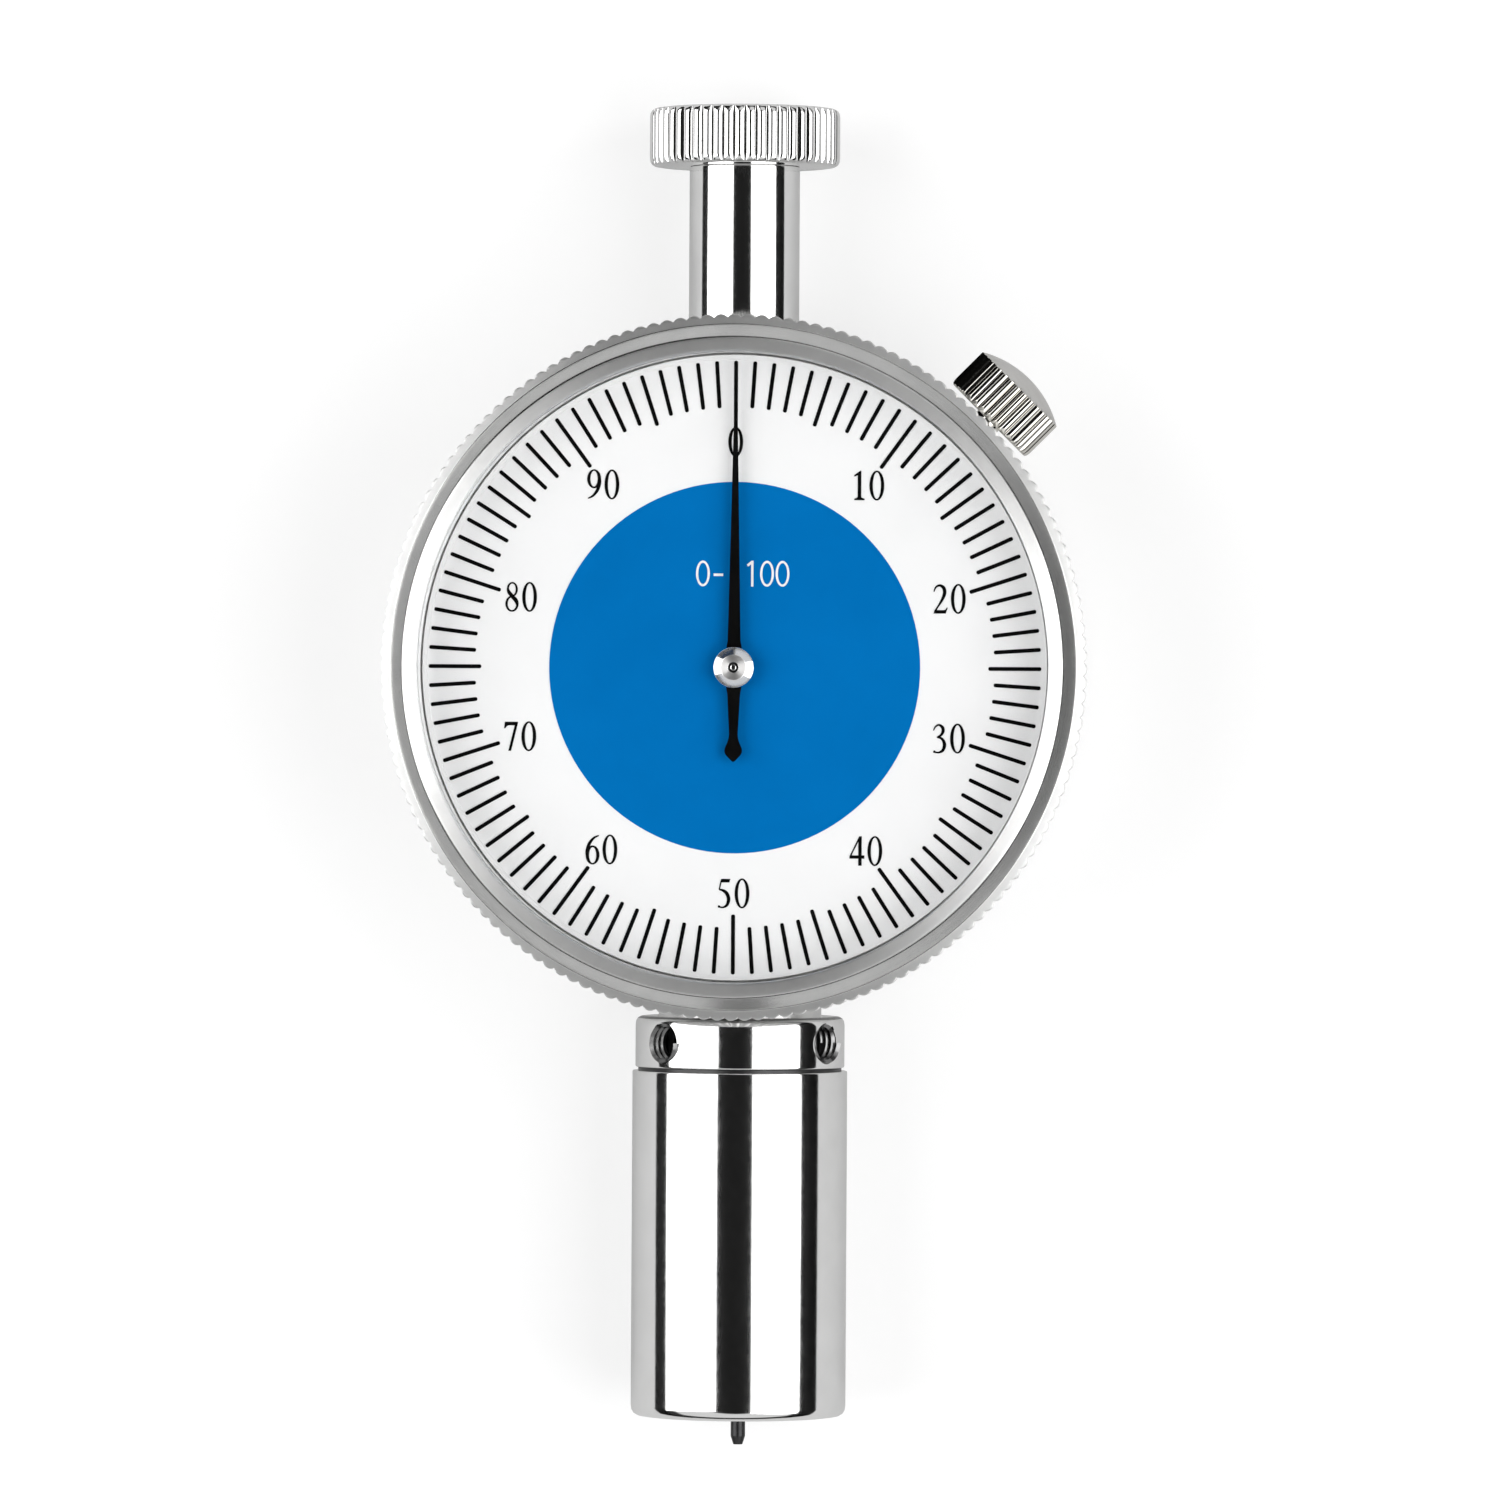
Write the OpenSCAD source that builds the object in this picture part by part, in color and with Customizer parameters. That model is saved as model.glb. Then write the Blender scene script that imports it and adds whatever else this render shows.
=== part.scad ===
// Dial durometer: a hand-held hardness gauge that lies on its back cover.
// X points right across the dial, Y towards the knob, Z out of the dial.
// The origin is the middle of the back cover's outer face, on the dial's axis.

/* [Bezel and window] */
// Diameter of the bezel over its ridges
bezel_d = 60; // [56:0.5:64]
// Ridges around the bezel
bezel_ridges = 160; // [120:10:180]
// Depth of the bezel's ridges
bezel_ridge = 0.3; // [0.1:0.02:0.3]
// Width of the bezel's ridged rim, seen from the front
rim_w = 1.1; // [0.9:0.1:1.4]
// Width of the slope up to the bezel's front
slope_w = 0.9; // [0.7:0.1:1.2]
// Width of the bezel's flat front
flat_w = 1.2; // [1.1:0.1:1.6]
// Height of the slope up to the bezel's front
slope_h = 1.6; // [1.2:0.1:2]
// Wall of the spigot that turns in the case
spigot_wall = 1.2; // [0.9:0.1:1.6]
// Thickness of the clear window
window_t = 1.3; // [1:0.1:1.8]
// Lip of the bezel in front of the window
window_lip = 0.7; // [0.5:0.1:1]

/* [Case] */
// Step from the bezel's rim in to the case
case_inset = 1.5; // [1.2:0.1:2]
// Thickness of the case's wall
case_wall = 1.9; // [1.6:0.1:2.3]
// Thickness of the web between the rear and the front chamber
web_t = 1.8; // [1.5:0.1:2.4]
// Thickness of the back cover
cover_t = 1.6; // [1.4:0.1:2.2]
// Height of the spindle's axis above the back
spindle_h = 9.6; // [9.4:0.1:11]
// Diameter of the boss above the barrel
barrel_boss_d = 14; // [12:0.5:15]
// Diameter of the boss below the handle stem
stem_boss_d = 12; // [10:0.5:13]

/* [Handle] */
// Diameter of the handle knob over its ridges
knob_d = 16.4; // [14:0.2:20]
// Thickness of the handle knob
knob_t = 5; // [4.5:0.1:7]
// Ridges around the handle knob
knob_ridges = 52; // [36:2:60]
// Diameter of the handle stem
stem_d = 9.5; // [8.5:0.1:11]
// Length of the handle stem beyond the bezel
stem_l = 13.2; // [10:0.2:20]

/* [Barrel and foot] */
// Diameter of the presser foot
foot_d = 18.5; // [16.4:0.1:18.8]
// Length of the presser foot
foot_l = 29.7; // [27:0.1:36]
// Thickness of the foot's floor
foot_floor = 3; // [2:0.1:4]
// Hole for the indentor in the foot's floor
foot_hole_d = 3; // [2.6:0.1:3.6]
// Diameter of the lock collar
collar_d = 18; // [16:0.1:18.4]
// Length of the lock collar
collar_l = 4.4; // [4.2:0.1:6]
// Diameter of the collar's threaded holes
grub_d = 3.3; // [2.6:0.1:3.6]
// Length of the grub screws
grub_l = 2; // [1.6:0.1:2.6]
// Turn of the collar on the barrel, in degrees
collar_turn = 7.5; // [-20:0.5:20]
// Diameter of the barrel neck
neck_d = 10; // [9:0.1:11]

/* [Indentor and spindle] */
// Travel of the indentor
travel = 2.5; // [1.8:0.1:2.6]
// Diameter of the indentor
indentor_d = 1.25; // [1:0.05:1.6]
// Diameter of the indentor's flat tip
tip_d = 0.79; // [0.5:0.01:0.9]
// Included angle of the indentor's cone, in degrees
tip_angle = 35; // [30:1:45]
// Diameter of the spindle
spindle_d = 4; // [3.8:0.1:4.4]
// Wire of the load spring
spring_wire = 1; // [0.8:0.05:1.1]
// Turns of the load spring
spring_turns = 9; // [7:1:11]

/* [Bezel lock] */
// Direction of the lock knob from the right, in degrees
lock_angle = 45; // [35:1:55]
// Diameter of the lock knob over its ridges
lock_d = 9; // [7:0.1:10]
// Length of the lock knob's ridged part
lock_l = 3.5; // [2.5:0.1:5]
// Ridges around the lock knob
lock_ridges = 32; // [20:2:40]
// Height of the lock knob's domed end
dome_h = 1.2; // [0.8:0.1:2]
// Diameter of the lock knob's screw
lock_screw_d = 2.5; // [2:0.1:3]

/* [Movement] */
// Pitch of the rack's teeth
rack_pitch = 1; // [0.8:0.05:1.2]
// Teeth of the pinion on the rack
pinion_teeth = 15; // [13:1:18]
// Teeth of the two wheels
wheel_teeth = 72; // [60:2:80]
// Teeth of the pointer's pinion
centre_teeth = 12; // [10:2:14]
// Module of the wheels' teeth
wheel_module = 0.25; // [0.2:0.01:0.28]
// Thickness of the wheels
wheel_t = 0.8; // [0.6:0.1:1]
// Thickness of the front and rear bridges
bridge_t = 1; // [0.8:0.1:1.4]

/* [Dial and pointer] */
// Thickness of the dial
dial_t = 0.5; // [0.3:0.1:0.8]
// Space between the dial and the window
needle_space = 2.3; // [2.1:0.1:3.5]
// Gap between the pointer's tip and the edge of the window
pointer_gap = 0.7; // [0.3:0.1:3]
// Length of the pointer's tail
tail_l = 8.1; // [6:0.1:12]
// Diameter of the pointer's hub
hub_d = 3.5; // [3:0.1:4.5]
// Diameter of the coloured field in the middle of the dial
field_d = 31.6; // [24:0.2:34]
// Divisions around the dial
divisions = 100; // [50:10:100]
// Width of the dial's marks
mark_w = 0.33; // [0.15:0.01:0.35]
// Length of the dial's short marks
mark_l = 4; // [3:0.05:4.5]
// Extra length of every fifth mark
fifth_l = 0.5; // [0.2:0.05:0.8]
// Extra length of every tenth mark
tenth_l = 1.1; // [0.5:0.05:1.5]
// Width of the pointer across its middle
pointer_w = 1.14; // [0.8:0.02:1.3]

/* [Hidden] */
$fn = 96;

// Fits
fit = 0.05;
run_fit = 0.1;
end_gap = 0.05;
cut = 0.1;

// Shades
steel = "lightsteelblue";
bright = "silver";
satin = "gainsboro";
brass = "darkkhaki";

// Radii about the dial's axis
bezel_r = bezel_d / 2;
ring_r = bezel_r - rim_w;
front_r = ring_r - slope_w;
window_r = front_r - flat_w;
case_r = bezel_r - case_inset;
case_in = case_r - case_wall;
spigot_r = case_in - run_fit;
spigot_in = spigot_r - spigot_wall;
window_seat = 0.7;
pane_r = window_r + window_seat;
dial_edge = 0.2;
dial_r = window_r - dial_edge;
dial_ring_w = 0.4;
cover_step = 1;
cover_r = case_r - cover_step;
bridge_edge = 3;
bridge_r = spigot_in - bridge_edge;

// Heights above the back
chamfer = 0.4;
web_gap = 0.3;
web_z = spindle_h + spindle_d / 2 + web_gap;
recess_z = web_z + web_t;
lock_gap = 0.15;
lock_z = recess_z + lock_gap + lock_screw_d / 2;
wire_d = 0.7;
wire_gap = 0.25;
wire_z = lock_z + lock_screw_d / 2 + wire_gap + wire_d / 2;
wire_cover = 0.3;
rim_gap = 0.2;
collar_clear = 0.3;
rim_z = max(wire_z + wire_d / 2 + wire_cover + rim_gap, spindle_h + collar_d / 2 + collar_clear);
case_front = rim_z - rim_gap;
spigot_gap = 0.4;
wheel_gap = 0.6;
wheel_z = recess_z + wheel_gap;
hair_gap = 0.5;
hair_w = 0.7;
hair_z = wheel_z + wheel_t + hair_gap;
bridge_gap = 0.9;
bridge_z = hair_z + hair_w + bridge_gap;
bridge_top = bridge_z + bridge_t;
screw_head_h = 0.8;
dial_gap = 1.2;
dial_z = bridge_top + screw_head_h + dial_gap;
dial_top = dial_z + dial_t;
window_z = dial_top + needle_space;
window_top = window_z + window_t;
bezel_top = window_top + window_lip;
slope_z = bezel_top - slope_h;
pointer_t = 0.25;
sleeve_d = 2.1;
sleeve_l = 0.4;
hub_seat_d = 1.05;
hub_hole_d = hub_d - 1;
pointer_gap_z = 0.8;
pointer_z = dial_top + pointer_gap_z;

// Places along the spindle, from the knob down to the indentor
inner_boss = 4.5;
boss_y = case_in - inner_boss;
stem_tuck = 1;
stem_y = bezel_r - stem_tuck;
knob_y = bezel_r + stem_l;
collar_tuck = 0.1;
collar_top = collar_tuck - bezel_r;
collar_end = collar_top - collar_l;
seam = 0.3;
foot_top = collar_end - seam;
foot_end = foot_top - foot_l;
floor_y = foot_end + foot_floor;
neck_reach = 6;
neck_end = foot_top - neck_reach;
shoulder_t = 2.5;
shoulder_y = floor_y + end_gap;
shoulder_top = shoulder_y + shoulder_t;
tip_y = foot_end - travel;
spigot_d = 6.8;
bush_l = 5;
bush_wall = 0.6;
bush_in = spindle_d + 2 * run_fit;
bush_d = bush_in + 2 * bush_wall;
stud_d = 6;
stud_l = 4;
spindle_clear = 0.5;
spindle_top = boss_y + bush_l - travel - spindle_clear;
shoulder_gap = 0.6;
shoulder_d = neck_d - shoulder_gap;

// Gear train: the rack turns the first arbor, whose wheel turns the pointer's pinion
pressure = 25;
addendum = 0.8;
dedendum = 1.05;
backlash = 0.07;
flank_steps = 3;
rack_module = rack_pitch / PI;
rack_side = 0.8;
rack_x = spindle_d / 2 - rack_side;
first_x = -(rack_x + rack_module * pinion_teeth / 2);
centre_gap = wheel_module * (wheel_teeth + centre_teeth) / 2;
first_y = -sqrt(centre_gap * centre_gap - first_x * first_x);
first_dir = atan2(first_y, first_x);
first_at = [first_x, first_y];
takeup_at = -first_at;
arbor_d = 1.5;
pivot_d = 0.8;
bearing_d = 2.4;
pinion_t = 2.4;

// Fasteners and posts
post_d = 4;
post_screw_d = 2;
post_head_d = 3.6;
screw_slot = 0.4;
post_edge = 2.5;
post_r = bridge_r - post_edge;
post_angles = [20, 160, 200, 340];
cover_screw_d = 2;
cover_head_d = 3.8;
cover_head_h = 0.9;
cover_boss_d = 5;
cover_screw_r = case_in - cover_boss_d / 2 + cut;
cover_screw_l = 6;
screw_room = 0.5;
screw_reach = 0.9;
hole_depth = 1;
rear_gap = 3;
rear_bridge_z = cover_t + rear_gap;
rear_bridge_top = rear_bridge_z + bridge_t;
rear_post_x = 8;
rear_post_low = 3.6;
rear_post_high = 21;
rear_post_ys = [first_y - rear_post_low, first_y + rear_post_high];
guide_d = 1.6;
guide_y = 3;
guide_inset = 0.3;
guide_z = rear_bridge_z + guide_inset;

// Repeated shapes

// Sets children with their Z along the spindle, starting at a place on it
module on_spindle(y) {
    translate([0, y, spindle_h]) rotate([-90, 0, 0]) children();
}

// Sets children with their Z out along the lock screw, starting at a radius
module on_lock(r) {
    rotate([0, 0, lock_angle]) translate([r, 0, lock_z]) rotate([0, 90, 0]) children();
}

// Sets children around the collar, with their Z pointing out
collar_angles = [-51.5, 51.5, 180];
module on_collar_holes() {
    on_spindle(collar_top - collar_l / 2) {
        for (a = collar_angles) rotate([0, 0, a + collar_turn - 90]) rotate([0, 90, 0]) children();
    }
}

module at_posts() {
    for (a = post_angles) rotate([0, 0, a]) translate([post_r, 0, 0]) children();
}

module at_cover_screws() {
    for (a = [45 : 90 : 315]) rotate([0, 0, a]) translate([cover_screw_r, 0, 0]) children();
}

module at_rear_posts() {
    for (x = [-rear_post_x, rear_post_x], y = rear_post_ys) translate([x, y, 0]) children();
}

module tube(od, id, h) {
    difference() {
        cylinder(d = od, h = h);
        translate([0, 0, -cut]) cylinder(d = id, h = h + 2 * cut);
    }
}

// Round crests with sharp valleys between them
ridge_steps = 4;
function ridged(r, depth, count) = [
    for (i = [0 : count * ridge_steps - 1])
        let (a = 360 * i / (count * ridge_steps), reach = r - depth * (1 - abs(cos(a * count / 2))))
            reach * [cos(a), sin(a)]
];

// A turned knob with a ridged edge and a cone at each end, which starts just inside the valleys
knob_ridge = 0.35;
lock_ridge = 0.3;
root_step = 0.05;
module ridged_knob(d, h, count, depth, edge) {
    root = d / 2 - depth - root_step;
    cylinder(r1 = root - edge, r2 = root, h = edge);
    translate([0, 0, edge]) linear_extrude(h - 2 * edge) polygon(ridged(d / 2, depth, count));
    translate([0, 0, h - edge]) cylinder(r1 = root, r2 = root - edge, h = edge);
}

// Involute teeth, the first of them centred on the X axis
function unroll(a) = tan(a) * 180 / PI - a;
function gear(teeth, size) =
    let (
        rp = teeth * size / 2,
        rb = rp * cos(pressure),
        ra = rp + addendum * size,
        rf = rp - dedendum * size,
        low = max(rb, rf),
        half = 90 / teeth - backlash / (2 * rp) * 180 / PI + unroll(pressure),
        radii = [for (i = [0 : flank_steps]) low + (ra - low) * i / flank_steps],
        spread = [for (r = radii) half - unroll(acos(min(1, rb / r)))],
        root = rb > rf + 0.01 ? [[rf, spread[0]]] : [],
        side = concat(root, [for (i = [0 : flank_steps]) [radii[i], spread[i]]]),
        last = len(side) - 1,
        tooth = concat(
            [for (i = [0 : last]) [side[i][0], -side[i][1]]],
            [for (i = [0 : last]) side[last - i]]
        )
    )
    [for (k = [0 : teeth - 1], p = tooth) let (a = p[1] + 360 * k / teeth) p[0] * [cos(a), sin(a)]];

// Space beside the rack's teeth, with a gap opposite the first arbor
module rack_space() {
    tip_x = -(rack_x + addendum * rack_module);
    root_x = -(rack_x - dedendum * rack_module);
    slack = backlash / 2;
    tip_half = rack_pitch / 4 + addendum * rack_module * tan(pressure) + slack;
    root_half = rack_pitch / 4 - dedendum * rack_module * tan(pressure) + slack;
    below = ceil((travel + 3 * rack_pitch) / rack_pitch);
    above = 3;
    space = [[tip_x, -tip_half], [root_x, -root_half], [root_x, root_half], [tip_x, tip_half]];
    gaps = [for (k = [-below : above], s = space) [s[0], first_y + k * rack_pitch + s[1]]];
    rack_end = 0.7 * rack_pitch;
    low_y = first_y - below * rack_pitch - rack_end;
    high_y = first_y + above * rack_pitch + rack_end;
    translate([0, 0, spindle_h - spindle_d]) linear_extrude(2 * spindle_d) polygon(concat(
        [[-spindle_d, low_y], [tip_x, low_y]],
        gaps,
        [[tip_x, high_y], [-spindle_d, high_y]]
    ));
}

// A slotted pan-head screw, its head's seat at the origin and its shank going down
module pan_screw(d, head_d, head_h, l) {
    difference() {
        union() {
            cylinder(d = head_d, h = head_h);
            translate([0, 0, -l]) cylinder(d = d, h = l);
        }
        translate([-head_d, -screw_slot / 2, head_h / 2]) cube([2 * head_d, screw_slot, head_h]);
    }
}

// Case and covers

module case_body() {
    color(satin) difference() {
        union() {
            translate([0, 0, cover_t]) cylinder(r1 = case_r - chamfer, r2 = case_r, h = chamfer);
            translate([0, 0, cover_t + chamfer]) cylinder(r = case_r, h = case_front - cover_t - chamfer);
            on_spindle(collar_top) cylinder(d = barrel_boss_d, h = case_inset + case_wall);
            on_spindle(case_in) cylinder(d = stem_boss_d, h = stem_y - case_in);
        }
        difference() {
            translate([0, 0, cover_t - cut]) cylinder(r = case_in, h = web_z - cover_t + cut);
            at_cover_screws() cylinder(d = cover_boss_d, h = web_z + cut);
            for (s = [-1, 1]) {
                translate([-barrel_boss_d / 2, s * case_in - inner_boss, cover_t - 2 * cut])
                    cube([barrel_boss_d, 2 * inner_boss, web_z - cover_t + 4 * cut]);
            }
        }
        translate([0, 0, recess_z]) cylinder(r = case_in, h = case_front);
        on_spindle(collar_top - cut) cylinder(d = spigot_d + 2 * fit, h = cut - collar_top - boss_y + cut);
        on_spindle(boss_y - cut) cylinder(d = spigot_d + 2 * fit, h = bezel_r);
        translate([0, 0, wire_z]) rotate_extrude() translate([case_in, 0]) circle(d = wire_d + 2 * fit);
        on_lock(case_in - cut) cylinder(d = lock_screw_d + 2 * fit, h = case_wall + 2 * cut);
        at_cover_screws() cylinder(d = cover_screw_d + 2 * fit, h = cover_screw_l + screw_room);
        at_posts() translate([0, 0, recess_z - hole_depth])
            cylinder(d = post_screw_d + 2 * fit, h = hole_depth + cut);
        at_rear_posts() translate([0, 0, web_z - cut])
            cylinder(d = post_screw_d + 2 * fit, h = hole_depth + cut);
        translate([first_x, first_y, web_z - cut]) cylinder(d = 2 * arbor_d, h = web_t + 2 * cut);
        for (p = [[0, 0], takeup_at]) {
            translate([p[0], p[1], recess_z - hole_depth])
                cylinder(d = bearing_d + 2 * fit, h = hole_depth + cut);
        }
    }
}

module back_cover() {
    color(satin) difference() {
        union() {
            cylinder(r1 = cover_r - chamfer, r2 = cover_r, h = chamfer);
            translate([0, 0, chamfer]) cylinder(r = cover_r, h = cover_t - chamfer);
        }
        at_cover_screws() {
            translate([0, 0, -cut]) cylinder(d = cover_screw_d + 2 * fit, h = cover_t + 2 * cut);
            translate([0, 0, -cut]) cylinder(d = cover_head_d + 4 * fit, h = cut);
            cylinder(d1 = cover_head_d + 4 * fit, d2 = cover_screw_d + 2 * fit, h = cover_head_h + fit);
        }
    }
}

module cover_screws() {
    color(steel) at_cover_screws() translate([0, 0, fit]) difference() {
        union() {
            cylinder(d1 = cover_head_d, d2 = cover_screw_d, h = cover_head_h);
            cylinder(d = cover_screw_d, h = cover_screw_l);
        }
        translate([-cover_head_d, -screw_slot / 2, -cut])
            cube([2 * cover_head_d, screw_slot, cover_head_h / 2 + cut]);
    }
}

// Bezel group, which turns on the case

module bezel() {
    pane_gap = fit;
    edge = 0.25;
    color(satin) difference() {
        union() {
            translate([0, 0, rim_z]) linear_extrude(slope_z - rim_z)
                polygon(ridged(bezel_r, bezel_ridge, bezel_ridges));
            translate([0, 0, slope_z]) cylinder(r1 = ring_r, r2 = front_r + edge, h = slope_h - edge);
            translate([0, 0, bezel_top - edge]) cylinder(r1 = front_r + edge, r2 = front_r, h = edge);
            translate([0, 0, recess_z + spigot_gap]) cylinder(r = spigot_r, h = rim_z - recess_z);
        }
        translate([0, 0, recess_z]) cylinder(r = spigot_in, h = dial_z - recess_z + cut);
        translate([0, 0, dial_z]) cylinder(r = window_r, h = bezel_top - dial_z + cut);
        translate([0, 0, window_z - pane_gap]) cylinder(r = pane_r + pane_gap, h = window_t + 2 * pane_gap);
        translate([0, 0, bezel_top - edge]) cylinder(r1 = window_r, r2 = window_r + 2 * edge, h = 2 * edge);
        translate([0, 0, wire_z]) rotate_extrude() translate([case_in, 0]) circle(d = wire_d + 4 * fit);
    }
}

module window() {
    color("white", 0.35) translate([0, 0, window_z]) {
        cylinder(r = pane_r, h = window_t - chamfer / 2);
        translate([0, 0, window_t - chamfer / 2])
            cylinder(r1 = pane_r, r2 = pane_r - chamfer / 2, h = chamfer / 2);
    }
}

module dial() {
    color("white") translate([0, 0, dial_z]) tube(2 * dial_r, hub_hole_d, dial_t);
}

// A printed layer on the dial
print_t = 0.04;

module dial_field() {
    color("royalblue") translate([0, 0, dial_top]) tube(field_d, hub_hole_d, print_t);
}

// Every fifth mark is longer, and every tenth longer again
module dial_marks() {
    reach = window_r - pointer_gap;
    for (i = [0 : divisions - 1]) {
        length = mark_l + (i % 10 == 0 ? tenth_l : i % 5 == 0 ? fifth_l : 0);
        color("black") rotate([0, 0, 90 - 360 * i / divisions])
            translate([reach - length, -mark_w / 2, dial_top]) cube([length, mark_w, print_t]);
    }
}

module dial_ring() {
    color("white") translate([0, 0, dial_top])
        tube(2 * dial_r, 2 * (dial_r - dial_ring_w), dial_ring_w);
}

module bezel_wire() {
    wire_turn = 330;
    color(steel) translate([0, 0, wire_z]) rotate_extrude(angle = wire_turn)
        translate([case_in, 0]) circle(d = wire_d);
}

// Bezel lock

shoe_l = 1;
screw_r = case_in + fit + shoe_l;
lock_reach = 0.4;
lock_r = bezel_r + lock_reach;

module lock_knob() {
    cone = 0.3;
    dome_r = lock_d / 2 - lock_ridge - root_step;
    ball_r = (dome_r * dome_r + dome_h * dome_h) / (2 * dome_h);
    color(bright) {
        on_lock(screw_r + end_gap) cylinder(d = lock_screw_d, h = lock_r - screw_r + cone);
        on_lock(lock_r) cylinder(r1 = dome_r - cone, r2 = dome_r, h = cone);
        on_lock(lock_r + cone) linear_extrude(lock_l - cone)
            polygon(ridged(lock_d / 2, lock_ridge, lock_ridges));
        on_lock(lock_r + lock_l) intersection() {
            translate([0, 0, dome_h - ball_r]) sphere(r = ball_r);
            translate([0, 0, -cone]) cylinder(r = dome_r, h = 2 * dome_h);
        }
    }
}

module lock_shoe() {
    color(brass) on_lock(case_in + fit) cylinder(d = lock_screw_d - fit, h = shoe_l);
}

// Handle

module handle_stem() {
    color(bright) difference() {
        union() {
            on_spindle(boss_y) cylinder(d = spigot_d, h = stem_y - boss_y);
            on_spindle(stem_y) cylinder(d = stem_d, h = knob_y - stem_y);
            on_spindle(knob_y) cylinder(d = stud_d, h = stud_l);
        }
        on_spindle(boss_y - cut) cylinder(d = bush_d + 2 * fit, h = bush_l + cut);
        on_spindle(boss_y) cylinder(d = bush_in, h = bush_l + 1);
    }
}

module handle_knob() {
    color(bright) difference() {
        on_spindle(knob_y) ridged_knob(knob_d, knob_t, knob_ridges, knob_ridge, chamfer);
        on_spindle(knob_y - cut) cylinder(d = stud_d + 2 * fit, h = stud_l + cut + end_gap);
    }
}

module stem_bush() {
    color(brass) on_spindle(boss_y) tube(bush_d, bush_in, bush_l);
}

// Barrel and foot

module barrel_neck() {
    color(bright) difference() {
        union() {
            on_spindle(neck_end) cylinder(d = neck_d, h = collar_top - neck_end);
            on_spindle(collar_top) cylinder(d = spigot_d, h = -boss_y - collar_top);
        }
        on_spindle(neck_end - cut) cylinder(d = bush_in, h = cut - boss_y - neck_end + cut);
        on_spindle(neck_end - cut) cylinder(d = bush_d + 2 * fit, h = bush_l + cut);
    }
}

module neck_bush() {
    color(brass) on_spindle(neck_end) tube(bush_d, bush_in, bush_l);
}

module lock_collar() {
    edge = 0.5;
    r = collar_d / 2;
    bore_r = neck_d / 2 + fit;
    color(bright) difference() {
        on_spindle(collar_end) rotate_extrude() polygon([
            [bore_r, 0], [r - edge / 2, 0], [r, edge / 2],
            [r, collar_l - edge], [r - edge, collar_l], [bore_r, collar_l]
        ]);
        on_collar_holes() translate([0, 0, bore_r - 1]) cylinder(d = grub_d, h = collar_d / 2);
    }
}

module grub_screws() {
    socket = grub_d / 2;
    color(steel) on_collar_holes() translate([0, 0, neck_d / 2 + fit]) difference() {
        cylinder(d = grub_d - 2 * fit, h = grub_l);
        translate([0, 0, grub_l / 2]) cylinder(d = socket, h = grub_l, $fn = 6);
    }
}

module presser_foot() {
    edge = 0.6;
    r = foot_d / 2;
    bend = [for (i = [0 : 6]) let (a = 15 * i) [r - edge + edge * sin(a), edge - edge * cos(a)]];
    color(bright) difference() {
        on_spindle(foot_end) rotate_extrude() polygon(concat(
            [[0, 0]],
            bend,
            [[r, foot_l - edge / 3], [r - edge / 3, foot_l], [0, foot_l]]
        ));
        on_spindle(floor_y) cylinder(d = neck_d + 2 * fit, h = foot_l);
        on_spindle(foot_end - cut) cylinder(d = foot_hole_d, h = foot_l);
    }
}

// Indentor and spindle

module load_spring() {
    sides = 8;
    steps = 14;
    bottom = shoulder_top + end_gap + spring_wire / 2;
    height = neck_end - end_gap - spring_wire / 2 - bottom;
    coil_gap = 0.3;
    coil_r = shoulder_d / 2 - spring_wire / 2 - coil_gap;
    end_lead = 0.1;
    closed = spring_wire + end_lead;
    lead = (height - 2 * closed) / (spring_turns - 2);
    rings = spring_turns * steps;
    function rise(t) =
        t < 1 ? t * closed
        : t < spring_turns - 1 ? closed + (t - 1) * lead
        : height - (spring_turns - t) * closed;
    points = [
        for (i = [0 : rings], j = [0 : sides - 1])
            let (t = i / steps, a = 360 * t, b = -360 * j / sides, r = coil_r + spring_wire / 2 * cos(b))
                [r * cos(a), r * sin(a), rise(t) + spring_wire / 2 * sin(b)]
    ];
    walls = [
        for (i = [0 : rings - 1], j = [0 : sides - 1])
            let (k = i * sides, n = (j + 1) % sides)
                [k + j, k + n, k + sides + n, k + sides + j]
    ];
    start = [for (j = [0 : sides - 1]) sides - 1 - j];
    end = [for (j = [0 : sides - 1]) rings * sides + j];
    color(steel) on_spindle(bottom) polyhedron(points, concat([start], walls, [end]));
}

module spindle() {
    pin_reach = spindle_d;
    color(steel) difference() {
        union() {
            on_spindle(shoulder_y) cylinder(d = shoulder_d, h = shoulder_t);
            on_spindle(shoulder_y) cylinder(d = spindle_d, h = spindle_top - shoulder_y);
        }
        rack_space();
        on_spindle(shoulder_y - cut) cylinder(d = indentor_d + 2 * fit, h = shoulder_t + pin_reach + cut);
        translate([0, guide_y, spindle_h - spindle_d]) cylinder(d = guide_d + 2 * fit, h = spindle_d);
    }
}

module indentor() {
    cone_l = (indentor_d - tip_d) / 2 / tan(tip_angle / 2);
    hole_gap = 0.2;
    length = shoulder_top + spindle_d - hole_gap - tip_y;
    color("dimgray") on_spindle(tip_y) rotate_extrude() polygon([
        [0, 0], [tip_d / 2, 0], [indentor_d / 2, cone_l], [indentor_d / 2, length], [0, length]
    ]);
}

module guide_pin() {
    color(steel) translate([0, guide_y, guide_z]) cylinder(d = guide_d, h = spindle_h - guide_z - fit);
}

// Movement

module bored_wheel() {
    color(brass) translate([0, 0, wheel_z]) difference() {
        linear_extrude(wheel_t) polygon(gear(wheel_teeth, wheel_module));
        translate([0, 0, -cut]) cylinder(d = arbor_d + 2 * fit, h = wheel_t + 2 * cut);
        for (a = [0 : 90 : 270]) rotate([0, 0, a + 45])
            translate([wheel_module * wheel_teeth / 4, 0, -cut])
                cylinder(d = wheel_module * wheel_teeth / 4, h = wheel_t + 2 * cut);
    }
}

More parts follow.
